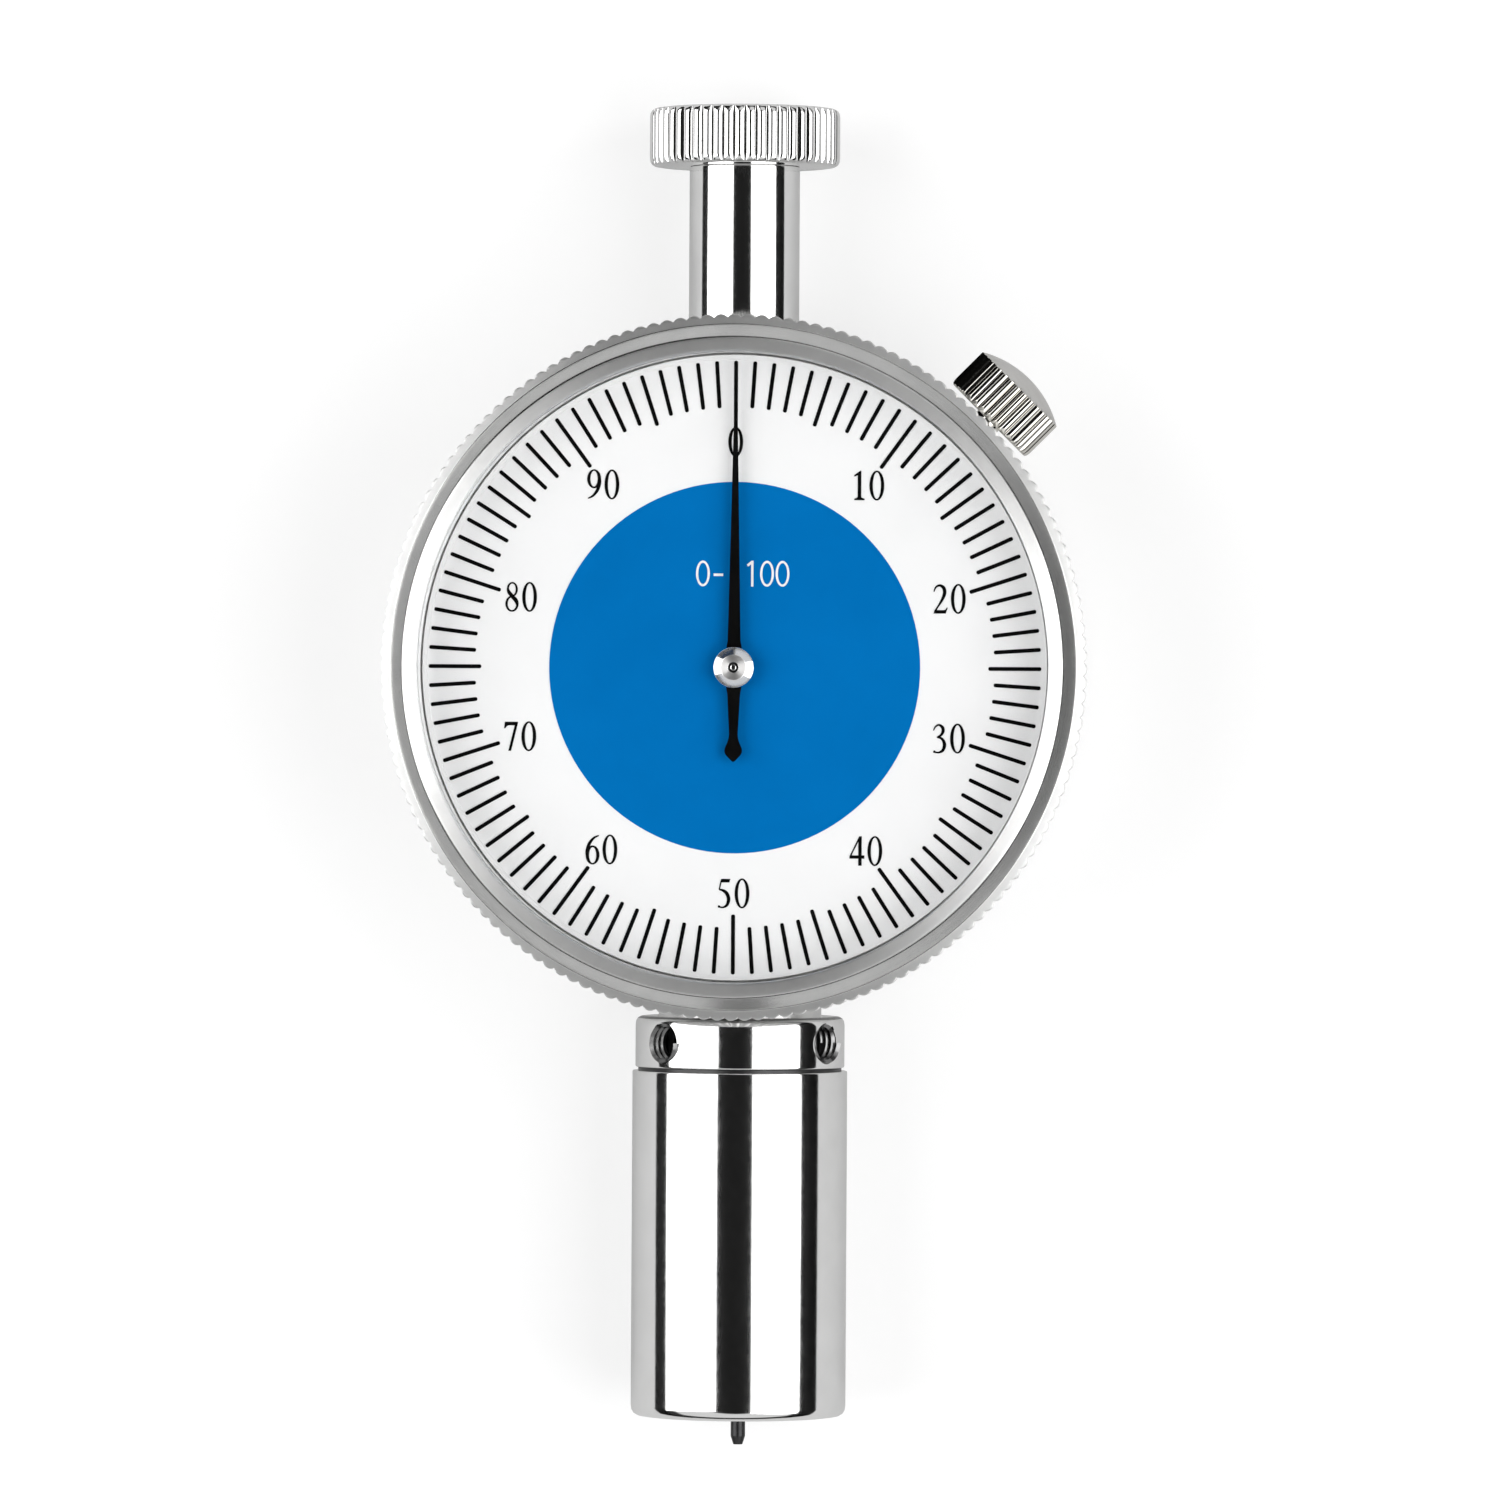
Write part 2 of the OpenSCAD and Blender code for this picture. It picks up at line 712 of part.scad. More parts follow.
// A shaft with a thin pivot at each end
module arbor(bottom, top) {
    pivot_l = bridge_t;
    translate([0, 0, bottom]) cylinder(d = pivot_d, h = top - bottom);
    translate([0, 0, bottom + pivot_l]) cylinder(d = arbor_d, h = top - bottom - 2 * pivot_l);
}

module rack_pinion() {
    color(steel) translate([first_x, first_y, 0]) {
        arbor(rear_bridge_z, bridge_top);
        translate([0, 0, spindle_h - pinion_t / 2]) linear_extrude(pinion_t)
            polygon(gear(pinion_teeth, rack_module));
    }
}

module first_wheel() {
    translate([first_x, first_y, 0]) rotate([0, 0, first_dir + 180]) bored_wheel();
}

module pointer_arbor() {
    web_pivot = recess_z - hole_depth + end_gap;
    pinion_over = 0.2;
    color(steel) {
        translate([0, 0, web_pivot]) cylinder(d = pivot_d, h = bridge_z - web_pivot);
        translate([0, 0, recess_z + end_gap]) cylinder(d = arbor_d, h = bridge_z - recess_z - 2 * end_gap);
        translate([0, 0, bridge_z - end_gap])
            cylinder(d = hub_seat_d, h = pointer_z + pointer_t + sleeve_l - bridge_z);
        translate([0, 0, wheel_z - pinion_over]) rotate([0, 0, first_dir + 180 / centre_teeth])
            linear_extrude(wheel_t + 2 * pinion_over) polygon(gear(centre_teeth, wheel_module));
    }
}

module pointer_hub() {
    cap_h = 0.8;
    rim_h = 0.3;
    seat_d = hub_seat_d + 2 * fit;
    color(bright) translate([0, 0, pointer_z]) difference() {
        union() {
            translate([0, 0, -sleeve_l]) cylinder(d = sleeve_d, h = sleeve_l + pointer_t);
            translate([0, 0, pointer_t]) cylinder(d = hub_d, h = rim_h);
            translate([0, 0, pointer_t + rim_h]) cylinder(d1 = hub_d, d2 = sleeve_d, h = cap_h - rim_h);
        }
        translate([0, 0, -2 * sleeve_l]) cylinder(d = seat_d, h = 3 * sleeve_l + pointer_t + fit);
    }
}

module pointer() {
    tip = window_r - pointer_gap;
    hub_lip = 0.2;
    half = pointer_w / 2;
    point_l = 0.1;
    point_half = 0.07;
    waist = tail_l - 1.9;
    waist_half = 0.34;
    spade = tail_l - 0.9;
    spade_half = 0.75;
    side = [
        [spade_half, -spade], [waist_half, -waist], [half, 0], [point_half, tip - point_l]
    ];
    outline = concat(
        [[0, -tail_l]],
        side,
        [[0, tip]],
        [for (i = [1 : len(side)]) let (p = side[len(side) - i]) [-p[0], p[1]]]
    );
    color("black") translate([0, 0, pointer_z]) difference() {
        union() {
            linear_extrude(pointer_t) polygon(outline);
            cylinder(d = hub_d - 2 * hub_lip, h = pointer_t);
        }
        translate([0, 0, -cut]) cylinder(d = sleeve_d + 2 * fit, h = pointer_t + 2 * cut);
    }
}

module takeup_arbor() {
    web_pivot = recess_z - hole_depth + end_gap;
    color(steel) translate([takeup_at[0], takeup_at[1], 0]) {
        translate([0, 0, web_pivot]) cylinder(d = pivot_d, h = bridge_top - web_pivot);
        translate([0, 0, recess_z + end_gap]) cylinder(d = arbor_d, h = bridge_z - recess_z - 2 * end_gap);
    }
}

module takeup_wheel() {
    translate([takeup_at[0], takeup_at[1], 0]) rotate([0, 0, first_dir]) bored_wheel();
}

// A flat spiral from the take-up arbor out to its stud
hair_t = 0.15;
hair_in = arbor_d / 2 + fit + hair_t / 2;
hair_turns = 4;
hair_lead = 0.9;
hair_out = hair_in + hair_turns * hair_lead;
stud_r = 0.6;

module hairspring() {
    steps = 30;
    count = hair_turns * steps;
    function reach(i) = hair_in + hair_lead * i / steps;
    function edge(i, side) = (reach(i) + side) * [cos(360 * i / steps), sin(360 * i / steps)];
    inner = [for (i = [0 : count]) edge(i, -hair_t / 2)];
    outer = [for (i = [0 : count]) edge(count - i, hair_t / 2)];
    color("steelblue") translate([takeup_at[0], takeup_at[1], hair_z])
        linear_extrude(hair_w) polygon(concat(inner, outer));
}

module hairspring_stud() {
    color(brass) translate([takeup_at[0] + hair_out + hair_t / 2 + fit + stud_r, takeup_at[1], hair_z])
        cylinder(r = stud_r, h = bridge_z - hair_z);
}

module front_bridge() {
    color(brass) translate([0, 0, bridge_z]) difference() {
        cylinder(r = bridge_r, h = bridge_t);
        at_posts() translate([0, 0, -cut]) cylinder(d = post_screw_d + 2 * fit, h = bridge_t + 2 * cut);
        for (p = [[0, 0], first_at, takeup_at]) {
            translate([p[0], p[1], -cut]) cylinder(d = bearing_d + 2 * fit, h = bridge_t + 2 * cut);
        }
    }
}

module bridge_posts() {
    color(brass) at_posts() translate([0, 0, recess_z])
        tube(post_d, post_screw_d + 2 * fit, bridge_z - recess_z);
}

module bridge_screws() {
    color(steel) at_posts() translate([0, 0, bridge_top])
        pan_screw(post_screw_d, post_head_d, screw_head_h, bridge_top - recess_z + screw_reach);
}

module bridge_bushes() {
    color("goldenrod") {
        for (p = [first_at, takeup_at]) {
            translate([p[0], p[1], bridge_z]) tube(bearing_d, pivot_d + 2 * fit, bridge_t);
        }
        translate([0, 0, bridge_z]) tube(bearing_d, hub_seat_d + 2 * fit, bridge_t);
    }
}

module web_bushes() {
    color("goldenrod") for (p = [[0, 0], takeup_at]) {
        translate([p[0], p[1], recess_z - hole_depth]) tube(bearing_d, pivot_d + 2 * fit, hole_depth);
    }
}

module rear_bridge() {
    rim = 2.5;
    slot_y = guide_y - guide_d / 2 - 2 * fit;
    slot_l = travel + guide_d + 4 * fit;
    color(brass) difference() {
        translate([-rear_post_x - rim, rear_post_ys[0] - rim, rear_bridge_z])
            cube([2 * (rear_post_x + rim), rear_post_ys[1] - rear_post_ys[0] + 2 * rim, bridge_t]);
        at_rear_posts() translate([0, 0, rear_bridge_z - cut])
            cylinder(d = post_screw_d + 2 * fit, h = bridge_t + 2 * cut);
        translate([-guide_d / 2 - 2 * fit, slot_y, rear_bridge_z - cut])
            cube([guide_d + 4 * fit, slot_l, bridge_t + 2 * cut]);
        translate([first_x, first_y, rear_bridge_z - cut])
            cylinder(d = bearing_d + 2 * fit, h = bridge_t + 2 * cut);
    }
}

module rear_posts() {
    color(brass) at_rear_posts() translate([0, 0, rear_bridge_top])
        tube(post_d, post_screw_d + 2 * fit, web_z - rear_bridge_top);
}

module rear_screws() {
    color(steel) at_rear_posts() translate([0, 0, rear_bridge_z]) mirror([0, 0, 1])
        pan_screw(post_screw_d, post_head_d, screw_head_h, web_z - rear_bridge_z + screw_reach);
}

module rear_bush() {
    color("goldenrod") translate([first_x, first_y, rear_bridge_z])
        tube(bearing_d, pivot_d + 2 * fit, bridge_t);
}

case_body();
back_cover();
cover_screws();
bezel();
window();
dial();
dial_field();
dial_marks();
dial_ring();
bezel_wire();
lock_knob();
lock_shoe();
handle_stem();
handle_knob();
stem_bush();
barrel_neck();
lock_collar();
grub_screws();
presser_foot();
neck_bush();
load_spring();
spindle();
indentor();
guide_pin();
rack_pinion();
first_wheel();
pointer_arbor();
pointer_hub();
pointer();
takeup_arbor();
takeup_wheel();
hairspring();
hairspring_stud();
front_bridge();
bridge_posts();
bridge_screws();
bridge_bushes();
web_bushes();
rear_bridge();
rear_posts();
rear_screws();
rear_bush();
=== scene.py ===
import math

import bmesh
import bpy
from mathutils import Matrix, Vector


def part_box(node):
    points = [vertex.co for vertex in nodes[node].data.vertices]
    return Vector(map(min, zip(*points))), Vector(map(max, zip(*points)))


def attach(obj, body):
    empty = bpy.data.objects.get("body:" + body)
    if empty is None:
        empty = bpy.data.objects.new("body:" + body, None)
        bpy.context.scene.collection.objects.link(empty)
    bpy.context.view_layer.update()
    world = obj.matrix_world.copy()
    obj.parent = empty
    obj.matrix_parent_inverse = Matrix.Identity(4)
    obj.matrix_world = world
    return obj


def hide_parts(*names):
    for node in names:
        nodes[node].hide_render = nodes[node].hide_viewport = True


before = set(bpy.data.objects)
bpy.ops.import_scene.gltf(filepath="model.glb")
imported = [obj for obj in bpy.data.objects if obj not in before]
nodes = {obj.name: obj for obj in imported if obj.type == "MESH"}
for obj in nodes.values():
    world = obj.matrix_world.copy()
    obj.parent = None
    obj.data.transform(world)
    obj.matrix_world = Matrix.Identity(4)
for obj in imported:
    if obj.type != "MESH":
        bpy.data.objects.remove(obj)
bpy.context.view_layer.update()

mm = 0.001
weld = 2e-8  # points closer than this become one
slack = 0.02  # millimetres, where faces are picked by their place
flatFrom = 0.9  # a face that looks up by more than this is flat
spindleHeight = sum(corner.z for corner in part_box("presser_foot")) / 2  # the barrel's axis lies along Y
print("frame loaded,", len(nodes), "nodes")


# small tools that every piece uses

def clearSelection():
    if bpy.context.object and bpy.context.object.mode != "OBJECT":
        bpy.ops.object.mode_set(mode="OBJECT")
    bpy.ops.object.select_all(action="DESELECT")


def makeActive(obj):
    clearSelection()
    obj.select_set(True)
    bpy.context.view_layer.objects.active = obj


def pick(obj, test):  # in edit mode, selects the vertices that pass
    mesh = bmesh.from_edit_mesh(obj.data)
    for vert in mesh.verts:
        vert.select = bool(test(vert.co))
    mesh.select_flush_mode()
    bmesh.update_edit_mesh(obj.data)


def softCorners(points, steps=4):  # a third number rounds that corner
    outline = []
    count = len(points)
    for i, point in enumerate(points):
        here = Vector(point[:2])
        size = point[2] if len(point) > 2 else 0
        if size <= 0:
            outline.append(here)
            continue
        before = Vector(points[i - 1][:2])
        after = Vector(points[(i + 1) % count][:2])
        start = here + (before - here).normalized() * size
        end = here + (after - here).normalized() * size
        for k in range(steps + 1):
            t = k / steps
            outline.append(start * (1 - t) ** 2 + here * 2 * t * (1 - t) + end * t * t)
    return outline


def drawLoop(name, points, flat):  # one vertex, pulled out along the outline, then closed
    spots = [Vector((p.x, p.y, 0) if flat else (p.x, 0, p.y)) * mm for p in points]
    clearSelection()
    bpy.ops.mesh.primitive_plane_add(size=mm, location=spots[0])
    obj = bpy.context.object
    obj.name = obj.data.name = name
    bpy.ops.object.transform_apply(location=True, rotation=True, scale=True)
    bpy.ops.object.mode_set(mode="EDIT")
    bpy.ops.mesh.select_mode(type="VERT")
    bpy.ops.mesh.select_all(action="SELECT")
    bpy.ops.mesh.merge(type="CENTER")
    for a, b in zip(spots, spots[1:]):
        bpy.ops.mesh.extrude_vertices_move(TRANSFORM_OT_translate={"value": b - a})
    mesh = bmesh.from_edit_mesh(obj.data)
    mesh.verts.ensure_lookup_table()
    for i, vert in enumerate(mesh.verts):
        vert.select = i in (0, len(mesh.verts) - 1)
    mesh.select_flush_mode()
    bmesh.update_edit_mesh(obj.data)
    bpy.ops.mesh.edge_face_add()
    bpy.ops.mesh.select_all(action="SELECT")
    return obj


def cleanUp(obj, angle=32):
    bpy.ops.object.mode_set(mode="EDIT")
    bpy.ops.mesh.select_all(action="SELECT")
    bpy.ops.mesh.remove_doubles(threshold=weld)
    bpy.ops.mesh.normals_make_consistent(inside=False)
    bpy.ops.object.mode_set(mode="OBJECT")
    makeActive(obj)
    bpy.ops.object.shade_smooth_by_angle(angle=math.radians(angle))
    return obj


def turn(name, profile, sides=192, angle=32):  # a lathe: the section is spun round Z
    obj = drawLoop(name, softCorners(profile), flat=False)
    bpy.ops.mesh.spin(steps=sides, angle=2 * math.pi, center=(0, 0, 0), axis=(0, 0, 1))
    return cleanUp(obj, angle)


def slab(name, outline, bottom, thick, bevel=0):  # a flat outline with thickness
    obj = drawLoop(name, softCorners(outline, steps=6), flat=True)
    bpy.ops.mesh.edge_face_add()
    bpy.ops.mesh.extrude_region_move(TRANSFORM_OT_translate={"value": (0, 0, thick * mm)})
    bpy.ops.object.mode_set(mode="OBJECT")
    place(obj, at=(0, 0, bottom))
    cleanUp(obj)
    if bevel:
        finishWith(obj, "BEVEL", width=bevel * mm, segments=2, limit_method="ANGLE")
    return obj


def place(obj, at=(0, 0, 0), turned=(0, 0, 0), scale=(1, 1, 1)):  # millimetres and degrees, then applied
    makeActive(obj)
    obj.location = Vector(at) * mm
    obj.rotation_euler = [math.radians(a) for a in turned]
    obj.scale = scale
    bpy.ops.object.transform_apply(location=True, rotation=True, scale=True)
    return obj


def finishWith(obj, kind, **values):
    makeActive(obj)
    modifier = obj.modifiers.new(kind.title(), kind)
    for key, value in values.items():
        setattr(modifier, key, value)
    bpy.ops.object.modifier_apply(modifier=modifier.name)
    return obj


def copyOf(obj):  # a copy with its own mesh
    makeActive(obj)
    bpy.ops.object.duplicate(linked=False)
    return bpy.context.object


def joined(name, objs):
    clearSelection()
    for obj in objs:
        obj.select_set(True)
    bpy.context.view_layer.objects.active = objs[0]
    if len(objs) > 1:
        bpy.ops.object.join()
    obj = bpy.context.object
    obj.name = obj.data.name = name
    return obj


def cutAway(obj, cutters):
    cutter = joined("cutter", cutters)
    finishWith(obj, "BOOLEAN", operation="DIFFERENCE", solver="EXACT", object=cutter)
    bpy.data.objects.remove(cutter)
    return obj


def fusedWith(obj, others):
    for other in others:
        finishWith(obj, "BOOLEAN", operation="UNION", solver="EXACT", object=other)
        bpy.data.objects.remove(other)
    return obj


def cutRidges(obj, ridges, steps, crest, depth, above):
    # valleys between round ridges: the points of each phase are drawn in, ring by ring
    near = 2e-3  # millimetres
    makeActive(obj)
    bpy.ops.object.mode_set(mode="EDIT")
    bpy.ops.mesh.select_mode(type="VERT")
    mesh = bmesh.from_edit_mesh(obj.data)
    rings = sorted({(round(v.co.z / mm, 4), round(v.co.xy.length / mm, 4)) for v in mesh.verts
                    if v.co.xy.length > above * mm})
    for height, radius in rings:
        for phase in range(1, steps // 2 + 1):
            reach = crest - depth * (2 * phase / steps) ** 2
            if reach >= radius:
                continue

            def inPhase(co):
                if abs(co.z / mm - height) > near or abs(co.xy.length / mm - radius) > near:
                    return False
                along = math.atan2(co.y, co.x) / (2 * math.pi) * ridges * steps
                k = round(along) % steps
                return k == phase or k == steps - phase

            pick(obj, inPhase)
            s = reach / radius
            bpy.ops.transform.resize(value=(s, s, 1), center_override=(0, 0, height * mm))
    return cleanUp(obj, angle=40)


# materials: node trees on Object coordinates

def startMaterial(name):
    material = bpy.data.materials.new(name)
    material.use_nodes = True
    tree = material.node_tree
    return material, tree, tree.nodes["Principled BSDF"]


def addNode(tree, kind, **values):
    node = tree.nodes.new(kind)
    for key, value in values.items():
        if key in node.inputs:
            node.inputs[key].default_value = value
        else:
            setattr(node, key, value)
    return node


def ramp(tree, source, stops):
    node = addNode(tree, "ShaderNodeValToRGB")
    while len(node.color_ramp.elements) < len(stops):
        node.color_ramp.elements.new(0.5)
    for element, (at, shade) in zip(node.color_ramp.elements, stops):
        element.position = at
        element.color = (*shade, 1)
    tree.links.new(source, node.inputs["Fac"])
    return node.outputs["Color"]


def spread(tree, source, low, high):  # a noise value as a plain number range
    values = {"From Min": 0.3, "From Max": 0.7, "To Min": low, "To Max": high}
    node = addNode(tree, "ShaderNodeMapRange", **values)
    tree.links.new(source, node.inputs["Value"])
    return node.outputs["Result"]


def objectPoint(tree, shift=(0, 0, 0), turned=(0, 0, 0)):  # millimetres on the piece, with its axis along Z
    coords = addNode(tree, "ShaderNodeTexCoord")
    angles = [math.radians(a) for a in turned]
    mapping = addNode(tree, "ShaderNodeMapping", vector_type="TEXTURE")
    mapping.inputs["Location"].default_value = shift
    mapping.inputs["Rotation"].default_value = angles
    mapping.inputs["Scale"].default_value = (mm, mm, mm)
    tree.links.new(coords.outputs["Object"], mapping.inputs["Vector"])
    return mapping.outputs["Vector"]


def noise(tree, point, scale, detail=3, rough=0.6):
    node = addNode(tree, "ShaderNodeTexNoise", Scale=scale, Detail=detail, Roughness=rough)
    tree.links.new(point, node.inputs["Vector"])
    return node.outputs["Fac"]


def turnedPoint(tree, point, across, along):  # the same all round the axis, so that noise becomes tool marks
    flat = addNode(tree, "ShaderNodeVectorMath", operation="MULTIPLY")
    flat.inputs[1].default_value = (1, 1, 0)
    radius = addNode(tree, "ShaderNodeVectorMath", operation="LENGTH")
    split = addNode(tree, "ShaderNodeSeparateXYZ")
    lines = addNode(tree, "ShaderNodeCombineXYZ")
    scale = addNode(tree, "ShaderNodeVectorMath", operation="MULTIPLY")
    scale.inputs[1].default_value = (across, along, 1)
    tree.links.new(point, flat.inputs[0])
    tree.links.new(flat.outputs["Vector"], radius.inputs[0])
    tree.links.new(point, split.inputs["Vector"])
    tree.links.new(radius.outputs["Value"], lines.inputs["X"])
    tree.links.new(split.outputs["Z"], lines.inputs["Y"])
    tree.links.new(lines.outputs["Vector"], scale.inputs[0])
    return scale.outputs["Vector"]


def bump(tree, shader, height, strength, distance):
    node = addNode(tree, "ShaderNodeBump", Strength=strength, Distance=distance * mm)
    tree.links.new(height, node.inputs["Height"])
    tree.links.new(node.outputs["Normal"], shader.inputs["Normal"])


onDial = dict(shift=(0, 0, 0), turned=(0, 0, 0))
onBarrel = dict(shift=(0, 0, spindleHeight), turned=(-90, 0, 0))


def turnedMetal(name, dark, light, rough, axis=onDial, marks=14, depth=0.004, mottle=0.35, brushed=0):
    material, tree, shader = startMaterial(name)
    point = objectPoint(tree, **axis)
    lines = noise(tree, turnedPoint(tree, point, marks, marks), scale=1, detail=4, rough=0.65)
    clouds = noise(tree, point, mottle)
    tree.links.new(ramp(tree, clouds, [(0.3, dark), (0.7, light)]), shader.inputs["Base Color"])
    tree.links.new(spread(tree, lines, *rough), shader.inputs["Roughness"])
    bump(tree, shader, lines, strength=0.5, distance=depth)
    shader.inputs["Metallic"].default_value = 1
    if brushed:  # round tool marks spread the light across themselves
        shader.inputs["Anisotropic"].default_value = brushed
        shader.inputs["Anisotropic Rotation"].default_value = 0.25
        roundMarks = addNode(tree, "ShaderNodeTangent", direction_type="RADIAL", axis="Z")
        tree.links.new(roundMarks.outputs["Tangent"], shader.inputs["Tangent"])
    return material


def plated(name, dark, light, rough, wave=0.02):
    material, tree, shader = startMaterial(name)
    point = objectPoint(tree)
    clouds = noise(tree, point, scale=0.25)
    smears = noise(tree, point, scale=1.4, detail=5, rough=0.7)
    tree.links.new(ramp(tree, clouds, [(0.35, dark), (0.65, light)]), shader.inputs["Base Color"])
    tree.links.new(spread(tree, smears, *rough), shader.inputs["Roughness"])
    bump(tree, shader, clouds, strength=0.25, distance=wave)
    shader.inputs["Metallic"].default_value = 1
    return material


def printed(name, dark, light, rough, grain=3.0, depth=0.002, shine=0.3):
    material, tree, shader = startMaterial(name)
    point = objectPoint(tree)
    speckle = noise(tree, point, grain, detail=4)
    clouds = noise(tree, point, scale=0.12, detail=2)
    tree.links.new(ramp(tree, clouds, [(0.3, dark), (0.7, light)]), shader.inputs["Base Color"])
    tree.links.new(spread(tree, speckle, *rough), shader.inputs["Roughness"])
    bump(tree, shader, speckle, strength=0.3, distance=depth)
    shader.inputs["Specular IOR Level"].default_value = shine
    return material


def clearSheet(name):
    material, tree, shader = startMaterial(name)
    point = objectPoint(tree)
    smears = noise(tree, point, scale=0.5)
    rim = addNode(tree, "ShaderNodeFresnel", IOR=1.3)
    veil = addNode(tree, "ShaderNodeMath", operation="MULTIPLY_ADD")  # clear ahead, closed at a low angle
    veil.inputs[1].default_value = 0.9
    veil.inputs[2].default_value = 0.02
    tree.links.new(rim.outputs["Fac"], veil.inputs[0])
    tree.links.new(veil.outputs["Value"], shader.inputs["Alpha"])
    tree.links.new(spread(tree, smears, low=0.01, high=0.04), shader.inputs["Roughness"])
    shader.inputs["Base Color"].default_value = (0.97, 0.98, 0.98, 1)
    shader.inputs["Transmission Weight"].default_value = 1
    shader.inputs["IOR"].default_value = 1.02  # a thin pane barely shifts what lies behind it
    shader.inputs["Coat Weight"].default_value = 1
    shader.inputs["Coat IOR"].default_value = 1.49
    return material


# dark and light colour, then the range of roughness
satinMetal = turnedMetal("satinMetal", (0.86, 0.86, 0.855), (0.94, 0.94, 0.93), (0.44, 0.54), brushed=0.9)
# the bezel's slope: finer marks and smoother, with a darker colour that is painted shade
shadedSlopeMetal = turnedMetal("shadedSlopeMetal", (0.72, 0.72, 0.715), (0.8, 0.8, 0.79), (0.18, 0.26), marks=20)
caseMetal = turnedMetal("caseMetal", (0.72, 0.72, 0.715), (0.8, 0.8, 0.79), (0.3, 0.42), marks=9)
chrome = plated("chrome", (0.9, 0.9, 0.895), (0.95, 0.95, 0.945), (0.07, 0.11))
nickel = plated("nickel", (0.78, 0.76, 0.71), (0.86, 0.84, 0.79), (0.03, 0.06))
satinNickel = turnedMetal("satinNickel", (0.72, 0.71, 0.69), (0.8, 0.79, 0.77), (0.3, 0.42))
hubMetal = turnedMetal("hubMetal", (0.76, 0.75, 0.74), (0.86, 0.85, 0.84), (0.34, 0.46), marks=30,
                       brushed=0.85)
steel = turnedMetal("steel", (0.52, 0.52, 0.52), (0.62, 0.62, 0.61), (0.22, 0.36), marks=10)
# hardened dark steel, also laid on the foot's shoulder and the hub's groove as painted shade
darkSteelAndShade = turnedMetal("darkSteelAndShade", (0.045, 0.045, 0.047), (0.08, 0.08, 0.08), (0.28, 0.42), onBarrel,
                        marks=16)
# dark steel for the tapped holes and their threads: the darkness is painted shade in the holes
holeShadeSteel = turnedMetal("holeShadeSteel", (0.2, 0.2, 0.2), (0.3, 0.3, 0.3), (0.16, 0.28), marks=8)
brass = turnedMetal("brass", (0.6, 0.42, 0.16), (0.72, 0.53, 0.24), (0.24, 0.38), marks=10)
dialWhite = printed("dialWhite", (0.9, 0.9, 0.9), (0.93, 0.93, 0.93), (0.6, 0.72), shine=0.12)
dialBlue = printed("dialBlue", (0.0006, 0.15, 0.455), (0.001, 0.162, 0.485), (0.6, 0.72), shine=0)
inkBlack = printed("inkBlack", (0.002, 0.002, 0.002), (0.004, 0.004, 0.004), (0.6, 0.75), shine=0.03)
inkWhite = printed("inkWhite", (0.9, 0.9, 0.9), (0.93, 0.93, 0.93), (0.6, 0.72), shine=0.12)
clearWindow = clearSheet("clearWindow")

nodeFinish = {
    "caseMetal": (caseMetal, ["case_body", "back_cover"]),
    "satinMetal": (satinMetal, ["bezel"]),
    "chrome": (chrome, ["handle_stem", "handle_knob", "lock_collar", "presser_foot"]),
    "nickel": (nickel, ["lock_knob"]),
    "hubMetal": (hubMetal, ["pointer_hub"]),
    "steel": (steel, ["cover_screws", "bezel_wire", "load_spring", "spindle", "guide_pin", "rack_pinion",
                      "pointer_arbor", "takeup_arbor", "bridge_screws", "rear_screws", "hairspring"]),
    "darkSteelAndShade": (darkSteelAndShade, ["indentor", "barrel_neck", "grub_screws"]),
    "brass": (brass, ["lock_shoe", "stem_bush", "neck_bush", "first_wheel", "takeup_wheel",
                      "hairspring_stud", "front_bridge", "bridge_posts", "bridge_bushes", "web_bushes",
                      "rear_bridge", "rear_posts", "rear_bush"]),
    "dialWhite": (dialWhite, ["dial", "dial_ring"]),
    "dialBlue": (dialBlue, ["dial_field"]),
    "inkBlack": (inkBlack, ["dial_marks", "pointer"]),
    "clearWindow": (clearWindow, ["window"]),
}
for material, names in nodeFinish.values():
    for name in names:
        nodes[name].data.materials.clear()
        nodes[name].data.materials.append(material)
print("materials set on", sum(len(names) for material, names in nodeFinish.values()), "nodes")


def dress(obj, material, body, slot, *replaced):
    if material:
        obj.data.materials.clear()
        obj.data.materials.append(material)
    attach(obj, body)
    if replaced:
        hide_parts(*replaced)
    return obj


def boxOf(node):  # lowest and highest corners in millimetres
    low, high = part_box(node)
    return low / mm, high / mm


# bezel: a turned ring with round ridges, a slope, a flat front and a spigot that turns in the case
bezelSizes = dict(rim=0.85, slope=1.2, slopeRise=1.6, spigotOuter=26.5, spigotInner=25.3, rimFoot=18.9,
                  wireAt=16.95, wireGroove=0.45, wall=26.8, paneGroove=27.55, paneLow=22.95, paneHigh=24.35,
                  dialSeat=20.2, ridges=160, ridgeSteps=8, ridgeDepth=0.32, edge=0.1, grooveOut=0.1,
                  spigotEdge=0.15, rimLow=0.3, rimHigh=0.32, slopeLow=0.12, slopeHigh=0.28, wallEdge=0.22)


